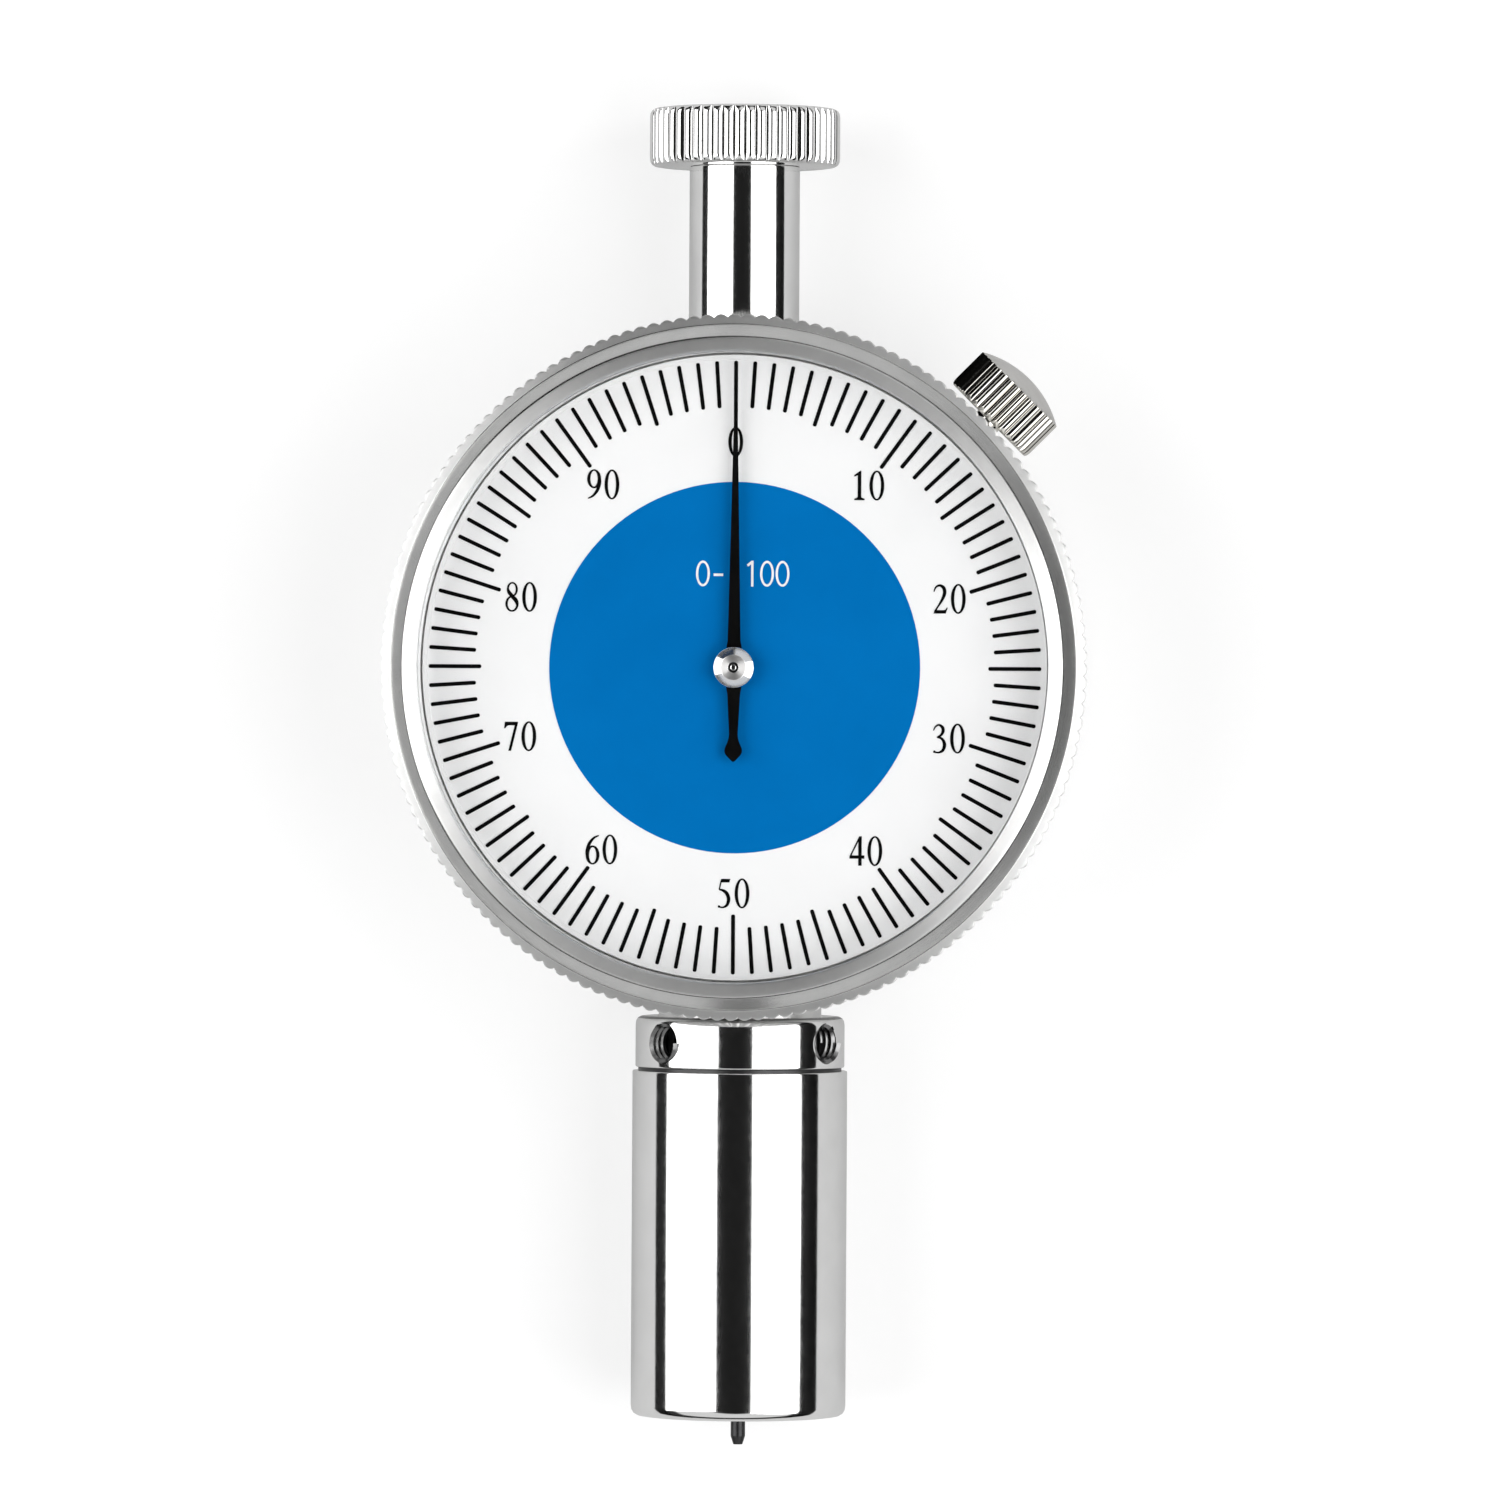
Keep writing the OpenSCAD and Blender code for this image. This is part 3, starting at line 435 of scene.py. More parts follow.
def makeBezel():
    s = bezelSizes
    low, high = boxOf("bezel")
    outer, top, bottom = high.x, high.z, low.z
    ring = outer - s["rim"]
    front = ring - s["slope"]
    step = top - s["slopeRise"]
    grooveOut = s["spigotOuter"] + s["grooveOut"]
    groove = [(grooveOut - s["wireGroove"] * math.cos(a), s["wireAt"] + s["wireGroove"] * math.sin(a))
              for a in [math.radians(-75 + 15 * k) for k in range(11)]]
    profile = [
        (s["spigotInner"], bottom, s["edge"]), (s["spigotOuter"], bottom, s["spigotEdge"]), *groove,
        (s["spigotOuter"], s["rimFoot"]), (outer, s["rimFoot"], s["rimLow"]), (outer, step, s["rimHigh"]),
        (ring, step, s["slopeLow"]), (front, top, s["slopeHigh"]), (s["wall"], top, s["wallEdge"]),
        (s["wall"], s["paneHigh"]), (s["paneGroove"], s["paneHigh"]), (s["paneGroove"], s["paneLow"]),
        (s["wall"], s["paneLow"]), (s["wall"], s["dialSeat"]), (s["spigotInner"], s["dialSeat"], s["edge"]),
    ]
    bezel = turn("bezelRing", profile, s["ridges"] * s["ridgeSteps"])
    cutRidges(bezel, s["ridges"], s["ridgeSteps"], outer, s["ridgeDepth"], outer - 2 * s["ridgeDepth"])
    bezel.data.materials.append(satinMetal)
    bezel.data.materials.append(shadedSlopeMetal)
    for face in bezel.data.polygons:  # the slope is cut finer than the flats, and its darker colour is painted shade
        onSlope = front < face.center.xy.length / mm < ring and face.center.z > step * mm
        face.material_index = 1 if onSlope and face.normal.z < flatFrom else 0
    dress(bezel, None, "bezel", "satin_metal", "bezel")


makeBezel()
print("bezel turned and ridged")


# handle: knob with ridges on a plain bright stem
knobSizes = dict(ridges=52, ridgeSteps=10, ridgeDepth=0.3, studHole=3.05, holeDepth=4.05, edge=0.75,
                 holeEdge=0.1)
stemSizes = dict(spigot=3.4, stem=4.75, stud=3.0, bore=2.1, bushBore=2.75, bushDepth=5.0, boreDepth=6.0,
                 shoulder=29.0, neck=43.2, spigotEdge=0.2, lowEdge=0.15, highEdge=0.12, studEdge=0.3)


def alongSpindle(obj, start):
    return place(obj, at=(0, start, spindleHeight / mm), turned=(-90, 0, 0))


def makeHandleKnob():
    s = knobSizes
    low, high = boxOf("handle_knob")
    radius, length = high.x, high.y - low.y
    profile = [
        (0, s["holeDepth"]), (s["studHole"], s["holeDepth"]), (s["studHole"], 0, s["holeEdge"]),
        (radius, 0, s["edge"]), (radius, length, s["edge"]), (radius * 0.5, length), (0, length),
    ]
    knob = turn("handleKnob", profile, s["ridges"] * s["ridgeSteps"])
    cutRidges(knob, s["ridges"], s["ridgeSteps"], radius, s["ridgeDepth"], radius - 2 * s["ridgeDepth"])
    dress(alongSpindle(knob, low.y), chrome, "case", "bright_metal", "handle_knob")


def makeHandleStem():
    s = stemSizes
    low, high = boxOf("handle_stem")
    shoulder, neck, length = s["shoulder"] - low.y, s["neck"] - low.y, high.y - low.y
    profile = [
        (0, s["boreDepth"]), (s["bore"], s["boreDepth"]), (s["bore"], s["bushDepth"]),
        (s["bushBore"], s["bushDepth"]), (s["bushBore"], 0), (s["spigot"], 0, s["spigotEdge"]),
        (s["spigot"], shoulder), (s["stem"], shoulder, s["lowEdge"]), (s["stem"], neck, s["highEdge"]),
        (s["stud"], neck), (s["stud"], length, s["studEdge"]), (0, length),
    ]
    stem = turn("handleStem", profile, 256)
    dress(alongSpindle(stem, low.y), chrome, "case", "bright_metal", "handle_stem")


makeHandleKnob()
makeHandleStem()
print("handle made")


# barrel: lock collar with threaded holes, and the presser foot
collarSizes = dict(bore=5.05, upper=0.75, lower=0.16, hole=1.65, holeAngles=(-51.5, 51.5, 180), turn=7.5,
                   mouth=0.14, boreEdge=0.1, wallFrom=0.2, threadPitch=0.55, threadDepth=0.26,
                   threadFloor=7.15, threadEnd=0.15, threadRoot=0.03)
footSizes = dict(bore=5.05, floor=3.0, hole=1.5, end=0.9, top=0.12, shoulder=8.75, shoulderRise=0.26,
                 holeEdge=0.15, boreEdge=0.1)


def collarTurn(angle):  # from the front, about the barrel's axis
    return (0, angle, 0)


def makeCollar():
    s = collarSizes
    low, high = boxOf("lock_collar")
    radius, length = high.x, high.y - low.y
    profile = [(s["bore"], 0, s["boreEdge"]), (radius, 0, s["lower"]), (radius, length, s["upper"]),
               (s["bore"], length, s["boreEdge"])]
    collar = alongSpindle(turn("lockCollar", profile, 360), low.y)
    middle = (low.y + high.y) / 2
    drillEnd, mouthAt, drillTop = s["bore"] - 1, radius - s["mouth"], radius + 2 * s["mouth"]
    drillProfile = [(0, drillEnd), (s["hole"], drillEnd), (s["hole"], mouthAt),
                    (s["hole"] + 3 * s["mouth"], drillTop), (0, drillTop)]
    cutters = []
    for angle in s["holeAngles"]:
        drill = turn("drill", drillProfile, 72)
        place(drill, at=(0, middle, spindleHeight / mm), turned=collarTurn(angle + s["turn"]))
        cutters.append(drill)
    cutAway(collar, cutters)
    makeActive(collar)
    bpy.ops.object.shade_smooth_by_angle(angle=math.radians(30))
    collar.data.materials.clear()
    collar.data.materials.append(chrome)
    collar.data.materials.append(holeShadeSteel)
    for face in collar.data.polygons:  # the drilled walls are painted dark steel as shade inside the holes
        fromAxis = math.hypot(face.center.x, face.center.z - spindleHeight) / mm
        onEnd = abs(face.normal.y) > 0.999
        drilled = s["bore"] + s["wallFrom"] < fromAxis < mouthAt and not onEnd
        face.material_index = 1 if drilled else 0
    dress(collar, None, "case", "bright_metal", "lock_collar")
    threads = []
    turns = int((radius - s["threadEnd"] - s["threadFloor"]) / s["threadPitch"])
    half = s["threadPitch"] * 0.45
    root, crest = s["hole"] + s["threadRoot"], s["hole"] - s["threadDepth"]
    section = [Vector((root, -half)), Vector((crest, -half * 0.15)), Vector((crest, half * 0.15)),
               Vector((root, half))]
    for angle in s["holeAngles"]:
        thread = drawLoop("thread", section + section[:1], flat=False)
        bpy.ops.object.mode_set(mode="OBJECT")
        finishWith(thread, "SCREW", axis="Z", angle=2 * math.pi, screw_offset=s["threadPitch"] * mm,
                   iterations=turns, steps=48, render_steps=48, use_merge_vertices=False)
        bpy.ops.object.mode_set(mode="EDIT")
        bpy.ops.mesh.select_all(action="SELECT")
        bpy.ops.mesh.remove_doubles(threshold=weld)
        bpy.ops.mesh.fill_holes(sides=4)
        bpy.ops.object.mode_set(mode="OBJECT")
        place(thread, at=(0, 0, s["threadFloor"] + half))
        place(thread, at=(0, middle, spindleHeight / mm), turned=collarTurn(angle + s["turn"]))
        threads.append(thread)
    # the threads are painted dark as shade in the holes
    dress(cleanUp(joined("collarThreads", threads)), holeShadeSteel, "case", "bright_metal")


def makeFoot():
    s = footSizes
    low, high = boxOf("presser_foot")
    radius, length = high.x, high.y - low.y
    profile = [
        (s["hole"], 0, s["holeEdge"]), (radius, 0, s["end"]), (radius, length, s["top"]),
        (s["shoulder"], length), (s["shoulder"], length + s["shoulderRise"]),
        (s["bore"], length + s["shoulderRise"], s["boreEdge"]), (s["bore"], s["floor"]),
        (s["hole"], s["floor"]),
    ]
    foot = turn("presserFoot", profile, 360)
    foot.data.materials.append(chrome)
    foot.data.materials.append(darkSteelAndShade)
    for face in foot.data.polygons:  # the low shoulder in the seam under the collar is painted dark steel as shade
        face.material_index = 1 if face.center.z > (length + slack) * mm else 0
    dress(alongSpindle(foot, low.y), None, "case", "bright_metal", "presser_foot")


makeCollar()
makeFoot()
print("collar, threads and foot made")


# lock knob: a ridged screw head with a smooth dome
lockSizes = dict(angle=45, shank=1.25, shankStart=27.7, shankEdge=0.2, head=30.12, ridged=3.78, dome=1.2,
                 domeSteps=10, domeIn=0.06, crest=4.5, crestIn=0.1, ridges=32, ridgeSteps=10, ridgeDepth=0.24,
                 edge=0.25, crestEdge=0.1, endEdge=0.04)


def makeLockKnob():
    s = lockSizes
    low, high = boxOf("lock_knob")
    height = (low.z + high.z) / 2
    end = s["head"] + s["ridged"]
    crest, root = s["crest"], s["crest"] - s["domeIn"]
    ball = (root ** 2 + s["dome"] ** 2) / (2 * s["dome"])
    reach = [root * (1 - k / s["domeSteps"]) for k in range(s["domeSteps"] + 1)]
    dome = [(r, end + s["dome"] - ball + math.sqrt(ball ** 2 - r ** 2)) for r in reach]
    profile = [
        (0, s["shankStart"]), (s["shank"], s["shankStart"], s["shankEdge"]), (s["shank"], s["head"]),
        (crest - s["crestIn"], s["head"], s["edge"]), (crest, s["head"] + 2 * s["edge"], s["crestEdge"]),
        (crest, end - s["endEdge"], s["endEdge"]), *dome,
    ]
    knob = turn("lockKnob", profile, s["ridges"] * s["ridgeSteps"])
    cutRidges(knob, s["ridges"], s["ridgeSteps"], crest, s["ridgeDepth"], crest - 2 * s["ridgeDepth"])
    knob.data.materials.append(nickel)
    knob.data.materials.append(satinNickel)
    for face in knob.data.polygons:  # the dome is duller than the ridges
        face.material_index = 1 if face.center.z > (end + slack) * mm else 0
    place(knob, at=(0, 0, height), turned=(0, 90, s["angle"]))
    dress(knob, None, "lock_knob", "bright_metal", "lock_knob")


makeLockKnob()
print("lock knob made")


# pointer with a turned hub
pointerSizes = dict(half=0.54, tip=26.1, tipHalf=0.065, waist=6.0, waistHalf=0.345, spade=7.2, spadeHalf=0.86,
                    tail=8.1, flare=0.68, flareAt=1.5, flareEnd=2.3, bevel=0.03, reading=0.15, tipCut=0.12,
                    tipSoft=0.05, tailSoft=0.25, spadeSoft=0.45, waistSoft=0.5)
hubSizes = dict(radius=1.75, crown=1.08, slope=32, pin=0.27, pinGroove=0.45, grooveDepth=0.16, sunk=0.05,
                footEdge=0.03, shoulderEdge=0.08, crownEdge=0.04, grooveEdge=0.03, grooveIn=0.03, pinIn=0.06,
                pinDrop=0.04, pinEdge=0.06)


def makePointer():
    s = pointerSizes
    low, high = boxOf("pointer")
    side = [(s["half"], -s["flareEnd"]), (s["flare"], -s["flareAt"]), (s["flare"], s["flareAt"]),
            (s["half"], s["flareEnd"]), (s["tipHalf"], s["tip"] - s["tipCut"], s["tipSoft"]), (0, s["tip"])]
    tail = [(0, -s["tail"], s["tailSoft"]), (s["spadeHalf"], -s["spade"], s["spadeSoft"]),
            (s["waistHalf"], -s["waist"], s["waistSoft"])]
    right = tail[1:] + side[:-1]
    left = [(-x, y, *rest) for x, y, *rest in reversed(right)]
    outline = [tail[0], *right, side[-1], *left]
    blade = slab("pointerBlade", outline, low.z, high.z - low.z, s["bevel"])
    place(blade, turned=(0, 0, -s["reading"]))
    dress(blade, inkBlack, "pointer", "dial_black", "pointer")


def makeHub():
    s = hubSizes
    top = boxOf("pointer_hub")[1].z
    foot = boxOf("pointer")[1].z - s["sunk"]
    shoulder = top - (s["radius"] - s["crown"]) * math.tan(math.radians(s["slope"]))
    grooveFloor = top - s["grooveDepth"]
    profile = [
        (0, foot), (s["radius"], foot, s["footEdge"]), (s["radius"], shoulder, s["shoulderEdge"]),
        (s["crown"], top, s["crownEdge"]), (s["pinGroove"], top, s["grooveEdge"]),
        (s["pinGroove"] - s["grooveIn"], grooveFloor), (s["pin"] + s["pinIn"], grooveFloor),
        (s["pin"], top - s["pinDrop"], s["pinEdge"]), (0, top),
    ]
    hub = turn("pointerHub", profile, 128)
    hub.data.materials.append(chrome)
    hub.data.materials.append(hubMetal)
    hub.data.materials.append(darkSteelAndShade)
    for face in hub.data.polygons:  # the flat front keeps its tool marks, the groove round the pin is painted dark steel as shade
        reach = face.center.xy.length / mm
        deep = top - face.center.z / mm
        onFront = face.normal.z > flatFrom and s["pinGroove"] < reach < s["crown"]
        besidePin = s["pin"] - slack < reach < s["pinGroove"]
        shadedGroove = besidePin and slack < deep < s["grooveDepth"] + slack
        face.material_index = 1 if onFront else 2 if shadedGroove else 0
    dress(hub, None, "pointer", "bright_metal", "pointer_hub")


makePointer()
makeHub()
print("pointer and hub made")


# dial print: round-ended marks and figures with thick and thin strokes
markSizes = dict(outer=26.1, short=4.0, fifth=4.5, tenth=5.1, width=0.33, count=100)
figureSizes = dict(height=2.5, wide=0.64, squeeze=0.84, advance=0.6, ringAt=19.2, smooth=5, labelHeight=2.2,
                   labelAt=8.0, labelGap=0.75)


def makeMarks():
    s = markSizes
    low, high = boxOf("dial_marks")
    thick = high.z - low.z
    half = s["width"] / 2
    masters = {}
    for kind in ("short", "fifth", "tenth"):
        ends = [(-half, s["outer"] - s[kind], half), (half, s["outer"] - s[kind], half),
                (half, s["outer"], half), (-half, s["outer"], half)]
        masters[kind] = slab("mark", ends, low.z, thick)
    marks = []
    for i in range(s["count"]):
        kind = "tenth" if i % 10 == 0 else "fifth" if i % 5 == 0 else "short"
        marks.append(place(copyOf(masters[kind]), turned=(0, 0, -360 * i / s["count"])))
    for master in masters.values():
        bpy.data.objects.remove(master)
    dress(joined("dialMarks", marks), inkBlack, "bezel", "dial_black", "dial_marks")


def stroke(points):  # a pen line whose third number is half its width
    fine = []
    steps = figureSizes["smooth"]
    for i in range(len(points) - 1):
        p = [Vector(points[max(0, min(len(points) - 1, i + k))]) for k in (-1, 0, 1, 2)]
        for k in range(steps):
            t = k / steps
            fine.append(0.5 * (2 * p[1] + (p[2] - p[0]) * t + (2 * p[0] - 5 * p[1] + 4 * p[2] - p[3]) * t * t
                               + (3 * p[1] - p[0] - 3 * p[2] + p[3]) * t ** 3))
    fine.append(Vector(points[-1]))
    left, right = [], []
    for i, here in enumerate(fine):
        along = (fine[min(i + 1, len(fine) - 1)] - fine[max(i - 1, 0)]).xy.normalized()
        across = Vector((-along.y, along.x)) * here.z
        left.append(tuple(here.xy + across))
        right.append(tuple(here.xy - across))
    return left + right[::-1]


def oval(cx, cy, rx, ry, count=32):
    return [(cx + rx * math.cos(2 * math.pi * k / count), cy + ry * math.sin(2 * math.pi * k / count))
            for k in range(count)]


lowerBowl = [(0.2, 0.545, 0.024), (0.4, 0.49, 0.046), (0.51, 0.3, 0.07), (0.44, 0.1, 0.055),
             (0.27, 0.022, 0.03), (0.1, 0.04, 0.03)]
sixSweep = stroke([(0.58, 0.975, 0.02), (0.38, 0.89, 0.04), (0.2, 0.7, 0.06), (0.11, 0.46, 0.065),
                   (0.1, 0.3, 0.05)])


def turnedOver(outline):
    return [(figureSizes["wide"] - x, 1 - y) for x, y in outline]


figures = {  # filled outlines, the holes in them and any stroke laid over, for a figure of height 1
    "0": ([oval(0.32, 0.5, 0.3, 0.51)], [oval(0.32, 0.5, 0.165, 0.455)]),
    "1": ([[(0.26, 0.85), (0.13, 0.8), (0.11, 0.85), (0.36, 1), (0.4, 1), (0.4, 0.09, 0.05), (0.54, 0.05),
            (0.54, 0), (0.12, 0), (0.12, 0.05), (0.26, 0.09, 0.05)]], []),
    "2": ([stroke([(0.05, 0.74, 0.022), (0.12, 0.89, 0.032), (0.28, 0.955, 0.042), (0.44, 0.87, 0.065),
                   (0.48, 0.7, 0.07), (0.4, 0.5, 0.055), (0.24, 0.27, 0.034), (0.07, 0.05, 0.03)]),
           [(0.03, 0), (0.53, 0), (0.61, 0.2), (0.575, 0.205), (0.5, 0.115, 0.05), (0.1, 0.115)]], []),
    "3": ([stroke([(0.06, 0.77, 0.022), (0.14, 0.9, 0.03), (0.28, 0.96, 0.036), (0.42, 0.88, 0.058),
                   (0.45, 0.76, 0.065), (0.37, 0.62, 0.045), (0.2, 0.535, 0.026)]),
           stroke(lowerBowl), oval(0.1, 0.05, 0.05, 0.045, 16)], []),
    "4": ([[(0.4, 1), (0.5, 1), (0.5, 0.35), (0.61, 0.35), (0.61, 0.24), (0.5, 0.24), (0.5, 0), (0.365, 0),
            (0.365, 0.24), (0.01, 0.24), (0.01, 0.32)]], [[(0.365, 0.82), (0.365, 0.35), (0.09, 0.35)]]),
    "5": ([[(0.19, 0.99), (0.56, 0.99), (0.515, 0.87), (0.155, 0.87)],
           stroke([(0.2, 0.96, 0.026), (0.155, 0.8, 0.026), (0.11, 0.62, 0.026)]),
           stroke([(0.1, 0.625, 0.022), (0.25, 0.6, 0.044), (0.41, 0.5, 0.066), (0.49, 0.31, 0.07),
                   (0.43, 0.11, 0.055), (0.27, 0.022, 0.03), (0.1, 0.04, 0.03)]),
           oval(0.1, 0.05, 0.05, 0.045, 16)], []),
    "6": ([oval(0.33, 0.31, 0.28, 0.325), sixSweep], [oval(0.335, 0.305, 0.148, 0.268)]),
    "7": ([[(0.06, 0.99), (0.59, 0.99), (0.59, 0.955), (0.315, 0), (0.205, 0), (0.46, 0.87),
            (0.16, 0.87, 0.08), (0.07, 0.76), (0.03, 0.775)]], []),
    "8": ([oval(0.33, 0.755, 0.225, 0.25), oval(0.32, 0.265, 0.27, 0.275)],
          [oval(0.33, 0.755, 0.14, 0.196), oval(0.32, 0.265, 0.176, 0.216)],
          [stroke([(0.17, 0.87, 0.024), (0.155, 0.74, 0.05), (0.25, 0.6, 0.068), (0.39, 0.46, 0.07),
                   (0.5, 0.33, 0.062), (0.535, 0.2, 0.045), (0.48, 0.09, 0.024)])]),
    "9": ([turnedOver(oval(0.33, 0.31, 0.28, 0.325)), turnedOver(sixSweep)],
          [turnedOver(oval(0.335, 0.305, 0.148, 0.268))]),
    "plain0": ([oval(0.32, 0.5, 0.32, 0.5)], [oval(0.32, 0.5, 0.215, 0.41)]),
    "plain1": ([[(0.3, 0.86), (0.16, 0.77), (0.1, 0.85), (0.32, 1), (0.41, 1), (0.41, 0), (0.3, 0)]], []),
    "dash": ([[(0.1, 0.4), (0.54, 0.4), (0.54, 0.5), (0.1, 0.5)]], []),
}


def makeFigure(sign, bottom, thick):  # one figure, standing on the origin
    filled, holes, *over = figures[sign]
    parts = [slab("figure", outline, bottom, thick) for outline in filled]
    figure = fusedWith(parts[0], parts[1:])
    cutters = [slab("hole", outline, bottom - thick, 3 * thick) for outline in holes]
    for cutter in cutters:
        cutAway(figure, [cutter])
    for strokes in over:
        fusedWith(figure, [slab("stroke", outline, bottom, thick) for outline in strokes])
    return figure


def makeNumber(signs, masters, height, centre):
    s = figureSizes
    step = s["advance"] * height
    wide = height * s["squeeze"]
    row = []
    for i, sign in enumerate(signs):
        x = centre[0] + (i - (len(signs) - 1) / 2) * step - s["wide"] / 2 * wide
        figure = copyOf(masters[sign])
        row.append(place(figure, at=(x, centre[1] - height / 2, 0), scale=(wide, height, 1)))
    return row


def makeFigures():
    s = figureSizes
    low, high = boxOf("dial_marks")
    thick = high.z - low.z
    masters = {sign: makeFigure(sign, low.z, thick) for sign in figures}
    numbers = []
    for i in range(10):
        a = math.radians(90 - 36 * i)
        at = (s["ringAt"] * math.cos(a), s["ringAt"] * math.sin(a))
        numbers += makeNumber(str(10 * i), masters, s["height"], at)
    dress(joined("dialFigures", numbers), inkBlack, "bezel", "dial_black")
    fieldTop = boxOf("dial_field")[1].z
    step = s["advance"] * s["labelHeight"]
    scaleRange = []  # the pointer passes between the two ends of the range
    for signs, side in ((["plain0", "dash"], -1), (["plain1", "plain0", "plain0"], 1)):
        centre = side * (s["labelGap"] + step * len(signs) / 2)
        scaleRange += makeNumber(signs, masters, s["labelHeight"], (centre, s["labelAt"]))
    label = place(joined("fieldFigures", scaleRange), at=(0, 0, fieldTop - low.z))
    dress(label, inkWhite, "bezel", "dial_white")
    for master in masters.values():
        bpy.data.objects.remove(master)


makeMarks()
makeFigures()
print("dial print made")


# indentor: dark hardened rod with a blunt cone
indentorSizes = dict(rod=0.625, tip=0.395, halfAngle=17.5, edge=0.04, backEdge=0.1)


def makeIndentor():
    s = indentorSizes
    low, high = boxOf("indentor")
    cone = (s["rod"] - s["tip"]) / math.tan(math.radians(s["halfAngle"]))
    length = high.y - low.y
    profile = [(0, 0), (s["tip"], 0, s["edge"]), (s["rod"], cone, s["edge"]),
               (s["rod"], length, s["backEdge"]), (0, length)]
    rod = turn("indentorRod", profile, 64)
    dress(alongSpindle(rod, low.y), darkSteelAndShade, "spindle", "dark_steel", "indentor")


makeIndentor()
print("indentor made")


# stage, in metres: pale floor, two soft lamps with a dark gap overhead, black cards, a quiet room
stageSizes = dict(floor=4.0, drop=0.00002, paper=0.52, paperGlow=0.53, metalGlow=0.06, card=0.006)
lampSizes = dict(away=0.62, long=0.62, lamps={
    "leftLamp": dict(angle=-54.1, up=0.07, wide=0.833, power=3.5),
    "rightLamp": dict(angle=46.55, up=-0.08, wide=0.709, power=3.0),
})
cardSizes = {
    "leftCard": dict(spot=(-0.12, -0.01, 0.017), high=0.034, long=0.6, turned=0),
    "rightCard": dict(spot=(0.14, -0.01, 0.029), high=0.058, long=0.6, turned=0),
    "lockCard": dict(spot=(0.01895, 0.0263, 0.0165), high=0.009, long=0.0044, turned=135),
}
roomSizes = dict(low=0.03, band=0.66, overhead=0.012, bandFrom=(0.3, 0.36), bandTo=(0.86, 0.9),
                 corner=(-0.66, 0.66, 0.36), cornerFrom=0.66, cornerTo=0.8, cornerLight=0.06)


def makeFloor():
    s = stageSizes
    clearSelection()
    bpy.ops.mesh.primitive_plane_add(size=s["floor"], location=(0, 0, -s["drop"]))
    floor = bpy.context.object
    floor.name = "floor"
    material, tree, shader = startMaterial("palePaper")
    shader.inputs["Base Color"].default_value = (s["paper"], s["paper"], s["paper"], 1)
    shader.inputs["Roughness"].default_value = 0.9
    shader.inputs["Specular IOR Level"].default_value = 0.1
    path = addNode(tree, "ShaderNodeLightPath")
    inMetal = addNode(tree, "ShaderNodeMath", operation="MULTIPLY")
    inMetal.inputs[1].default_value = s["metalGlow"]
    seen = addNode(tree, "ShaderNodeMath", operation="MAXIMUM")
    glow = addNode(tree, "ShaderNodeMath", operation="MULTIPLY_ADD")
    glow.inputs[1].default_value = s["paperGlow"]
    tree.links.new(path.outputs["Is Glossy Ray"], inMetal.inputs[0])
    tree.links.new(path.outputs["Is Camera Ray"], seen.inputs[0])
    tree.links.new(path.outputs["Is Transmission Ray"], seen.inputs[1])
    tree.links.new(seen.outputs["Value"], glow.inputs[0])
    tree.links.new(inMetal.outputs["Value"], glow.inputs[2])
    shader.inputs["Emission Color"].default_value = (1, 1, 1, 1)
    tree.links.new(glow.outputs["Value"], shader.inputs["Emission Strength"])
    floor.data.materials.append(material)


def makeCard(name, spot, high, long, turned):  # a black card that the bright metal shows as a dark line
    shade = stageSizes["card"]
    clearSelection()
    bpy.ops.mesh.primitive_plane_add(size=1, location=spot, rotation=(0, math.pi / 2, math.radians(turned)))
    card = bpy.context.object
    card.name = name
    card.scale = (high, long, 1)
    material, tree, shader = startMaterial(name)
    shader.inputs["Base Color"].default_value = (shade, shade, shade, 1)
    shader.inputs["Roughness"].default_value = 0.9
    shader.inputs["Specular IOR Level"].default_value = 0
    card.data.materials.append(material)
    card.visible_camera = False
    card.visible_shadow = False
    card.visible_diffuse = False


def makeLamp(name, angle, up, wide, power):
    a = math.radians(angle)
    spot = (lampSizes["away"] * math.sin(a), up, lampSizes["away"] * math.cos(a))
    bpy.ops.object.light_add(type="AREA", location=spot, rotation=(0, a, 0))
    lamp = bpy.context.object
    lamp.name = name
    lamp.data.shape = "RECTANGLE"
    lamp.data.size = wide
    lamp.data.size_y = lampSizes["long"]
    lamp.data.energy = power


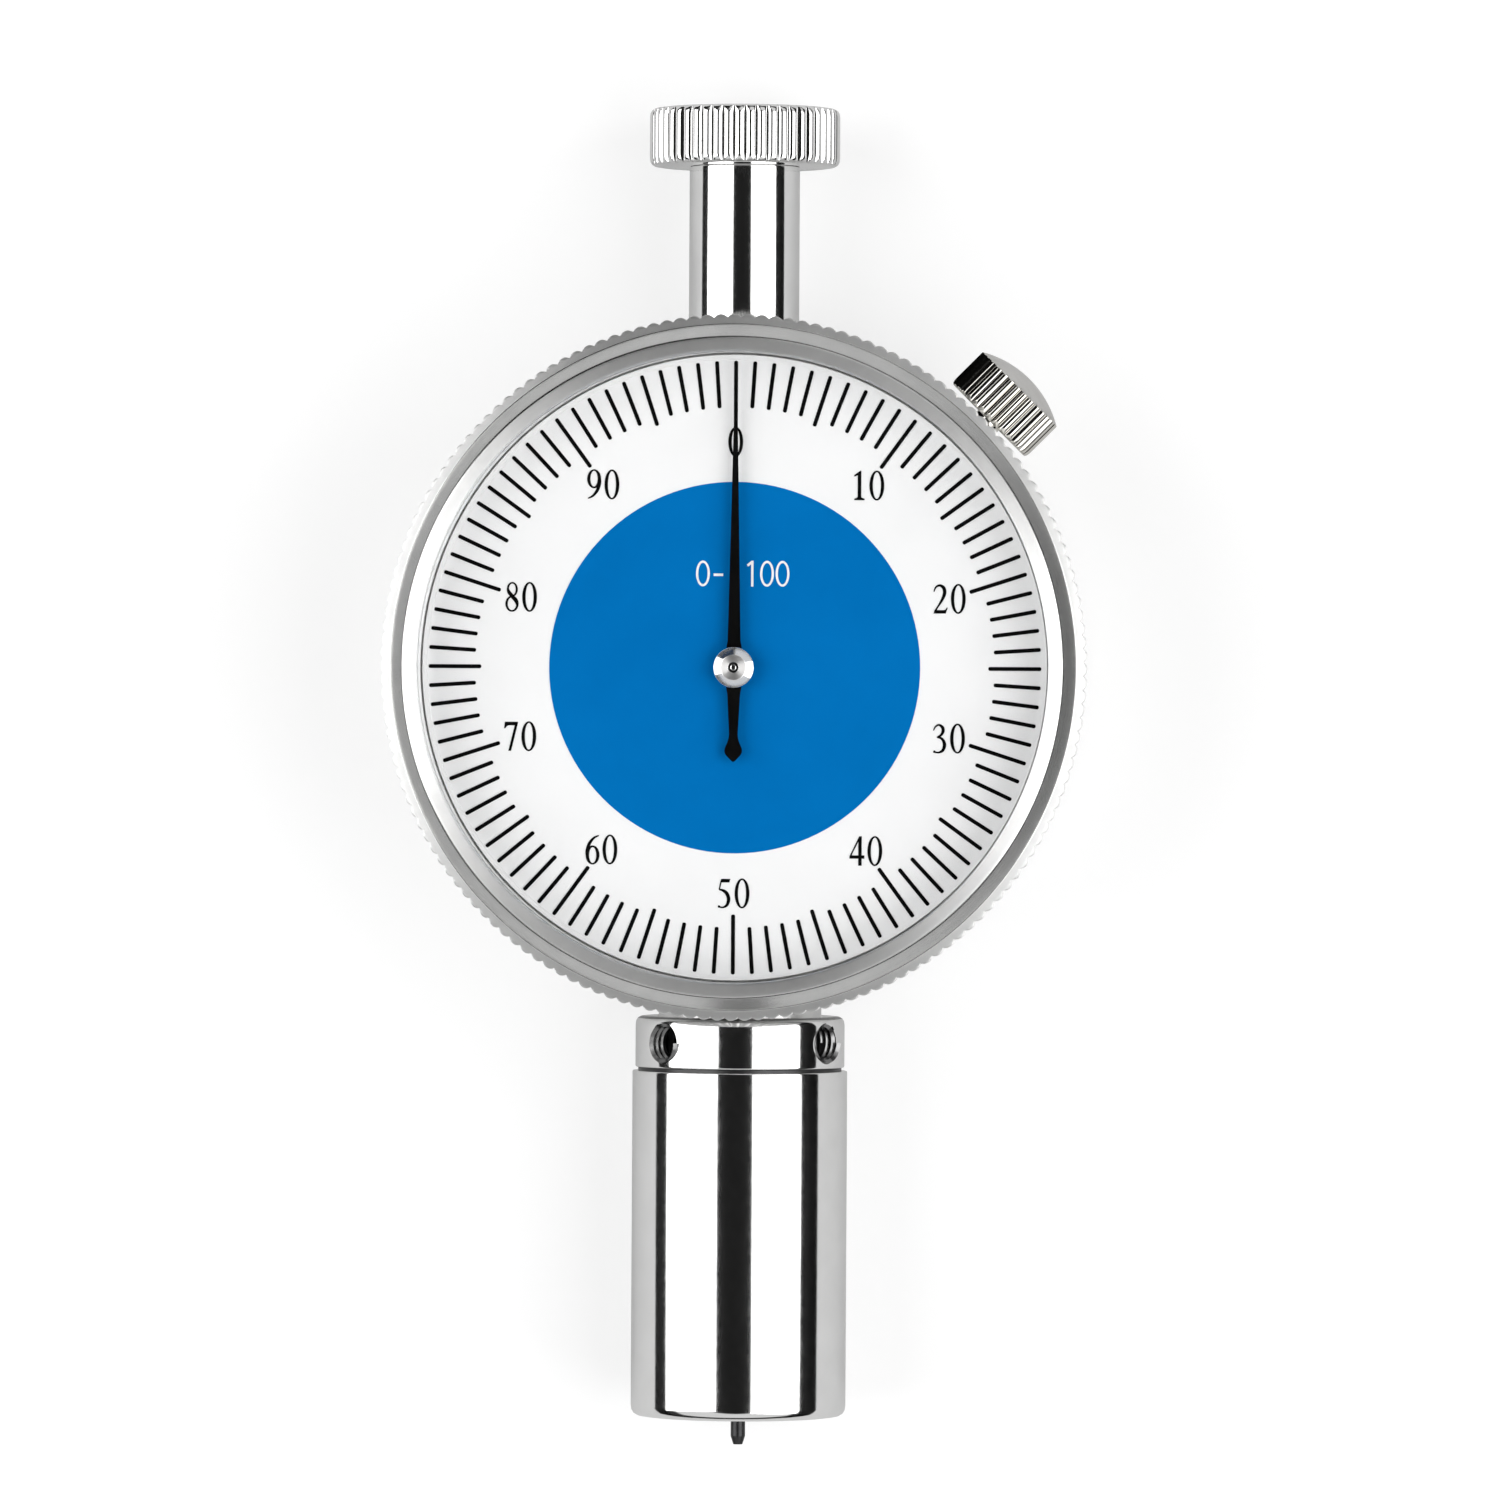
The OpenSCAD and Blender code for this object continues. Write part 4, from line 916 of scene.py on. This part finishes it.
def makeRoom():
    s = roomSizes
    low, band, overhead = [(s[part],) * 3 for part in ("low", "band", "overhead")]
    world = bpy.data.worlds.new("quietRoom")
    bpy.context.scene.world = world
    world.use_nodes = True
    tree = world.node_tree
    back = tree.nodes["Background"]
    coords = addNode(tree, "ShaderNodeTexCoord")
    split = addNode(tree, "ShaderNodeSeparateXYZ")
    tree.links.new(coords.outputs["Generated"], split.inputs["Vector"])
    shade = ramp(tree, split.outputs["Z"], [(0, low), (s["bandFrom"][0], low), (s["bandFrom"][1], band),
                                            (s["bandTo"][0], band), (s["bandTo"][1], overhead)])
    tree.links.new(shade, back.inputs["Color"])
    corner = addNode(tree, "ShaderNodeVectorMath", operation="DOT_PRODUCT")
    corner.inputs[1].default_value = s["corner"]
    values = {"From Min": s["cornerFrom"], "From Max": s["cornerTo"], "To Min": 1, "To Max": s["cornerLight"]}
    dark = addNode(tree, "ShaderNodeMapRange", **values)  # a dark corner of the room at the upper left
    tree.links.new(coords.outputs["Generated"], corner.inputs[0])
    tree.links.new(corner.outputs["Value"], dark.inputs["Value"])
    tree.links.new(dark.outputs["Result"], back.inputs["Strength"])


clearSelection()
makeFloor()
for name, values in cardSizes.items():
    makeCard(name, **values)
for name, values in lampSizes["lamps"].items():
    makeLamp(name, **values)
makeRoom()
print("stage lit")


# camera: straight down on the dial, a little from the right
cameraSizes = dict(lens=245.2, sensor=36, near=0.01, far=20, away=0.88, aim=(0.72, -7.0, 9.6), right=3.3,
                   roll=0.32)


def makeCamera():
    s = cameraSizes
    a = math.radians(s["right"])
    aim = Vector(s["aim"]) * mm
    spot = aim + Vector((math.sin(a), 0, math.cos(a))) * s["away"]
    bpy.ops.object.camera_add(location=spot)
    camera = bpy.context.object
    roll = Matrix.Rotation(math.radians(s["roll"]), 3, "Z")
    camera.rotation_euler = (Matrix.Rotation(a, 3, "Y") @ roll).to_euler()
    camera.data.lens = s["lens"]
    camera.data.sensor_width = s["sensor"]
    camera.data.clip_start, camera.data.clip_end = s["near"], s["far"]
    bpy.context.scene.camera = camera


makeCamera()
bpy.context.scene.view_settings.view_transform = "Standard"
print("camera set")
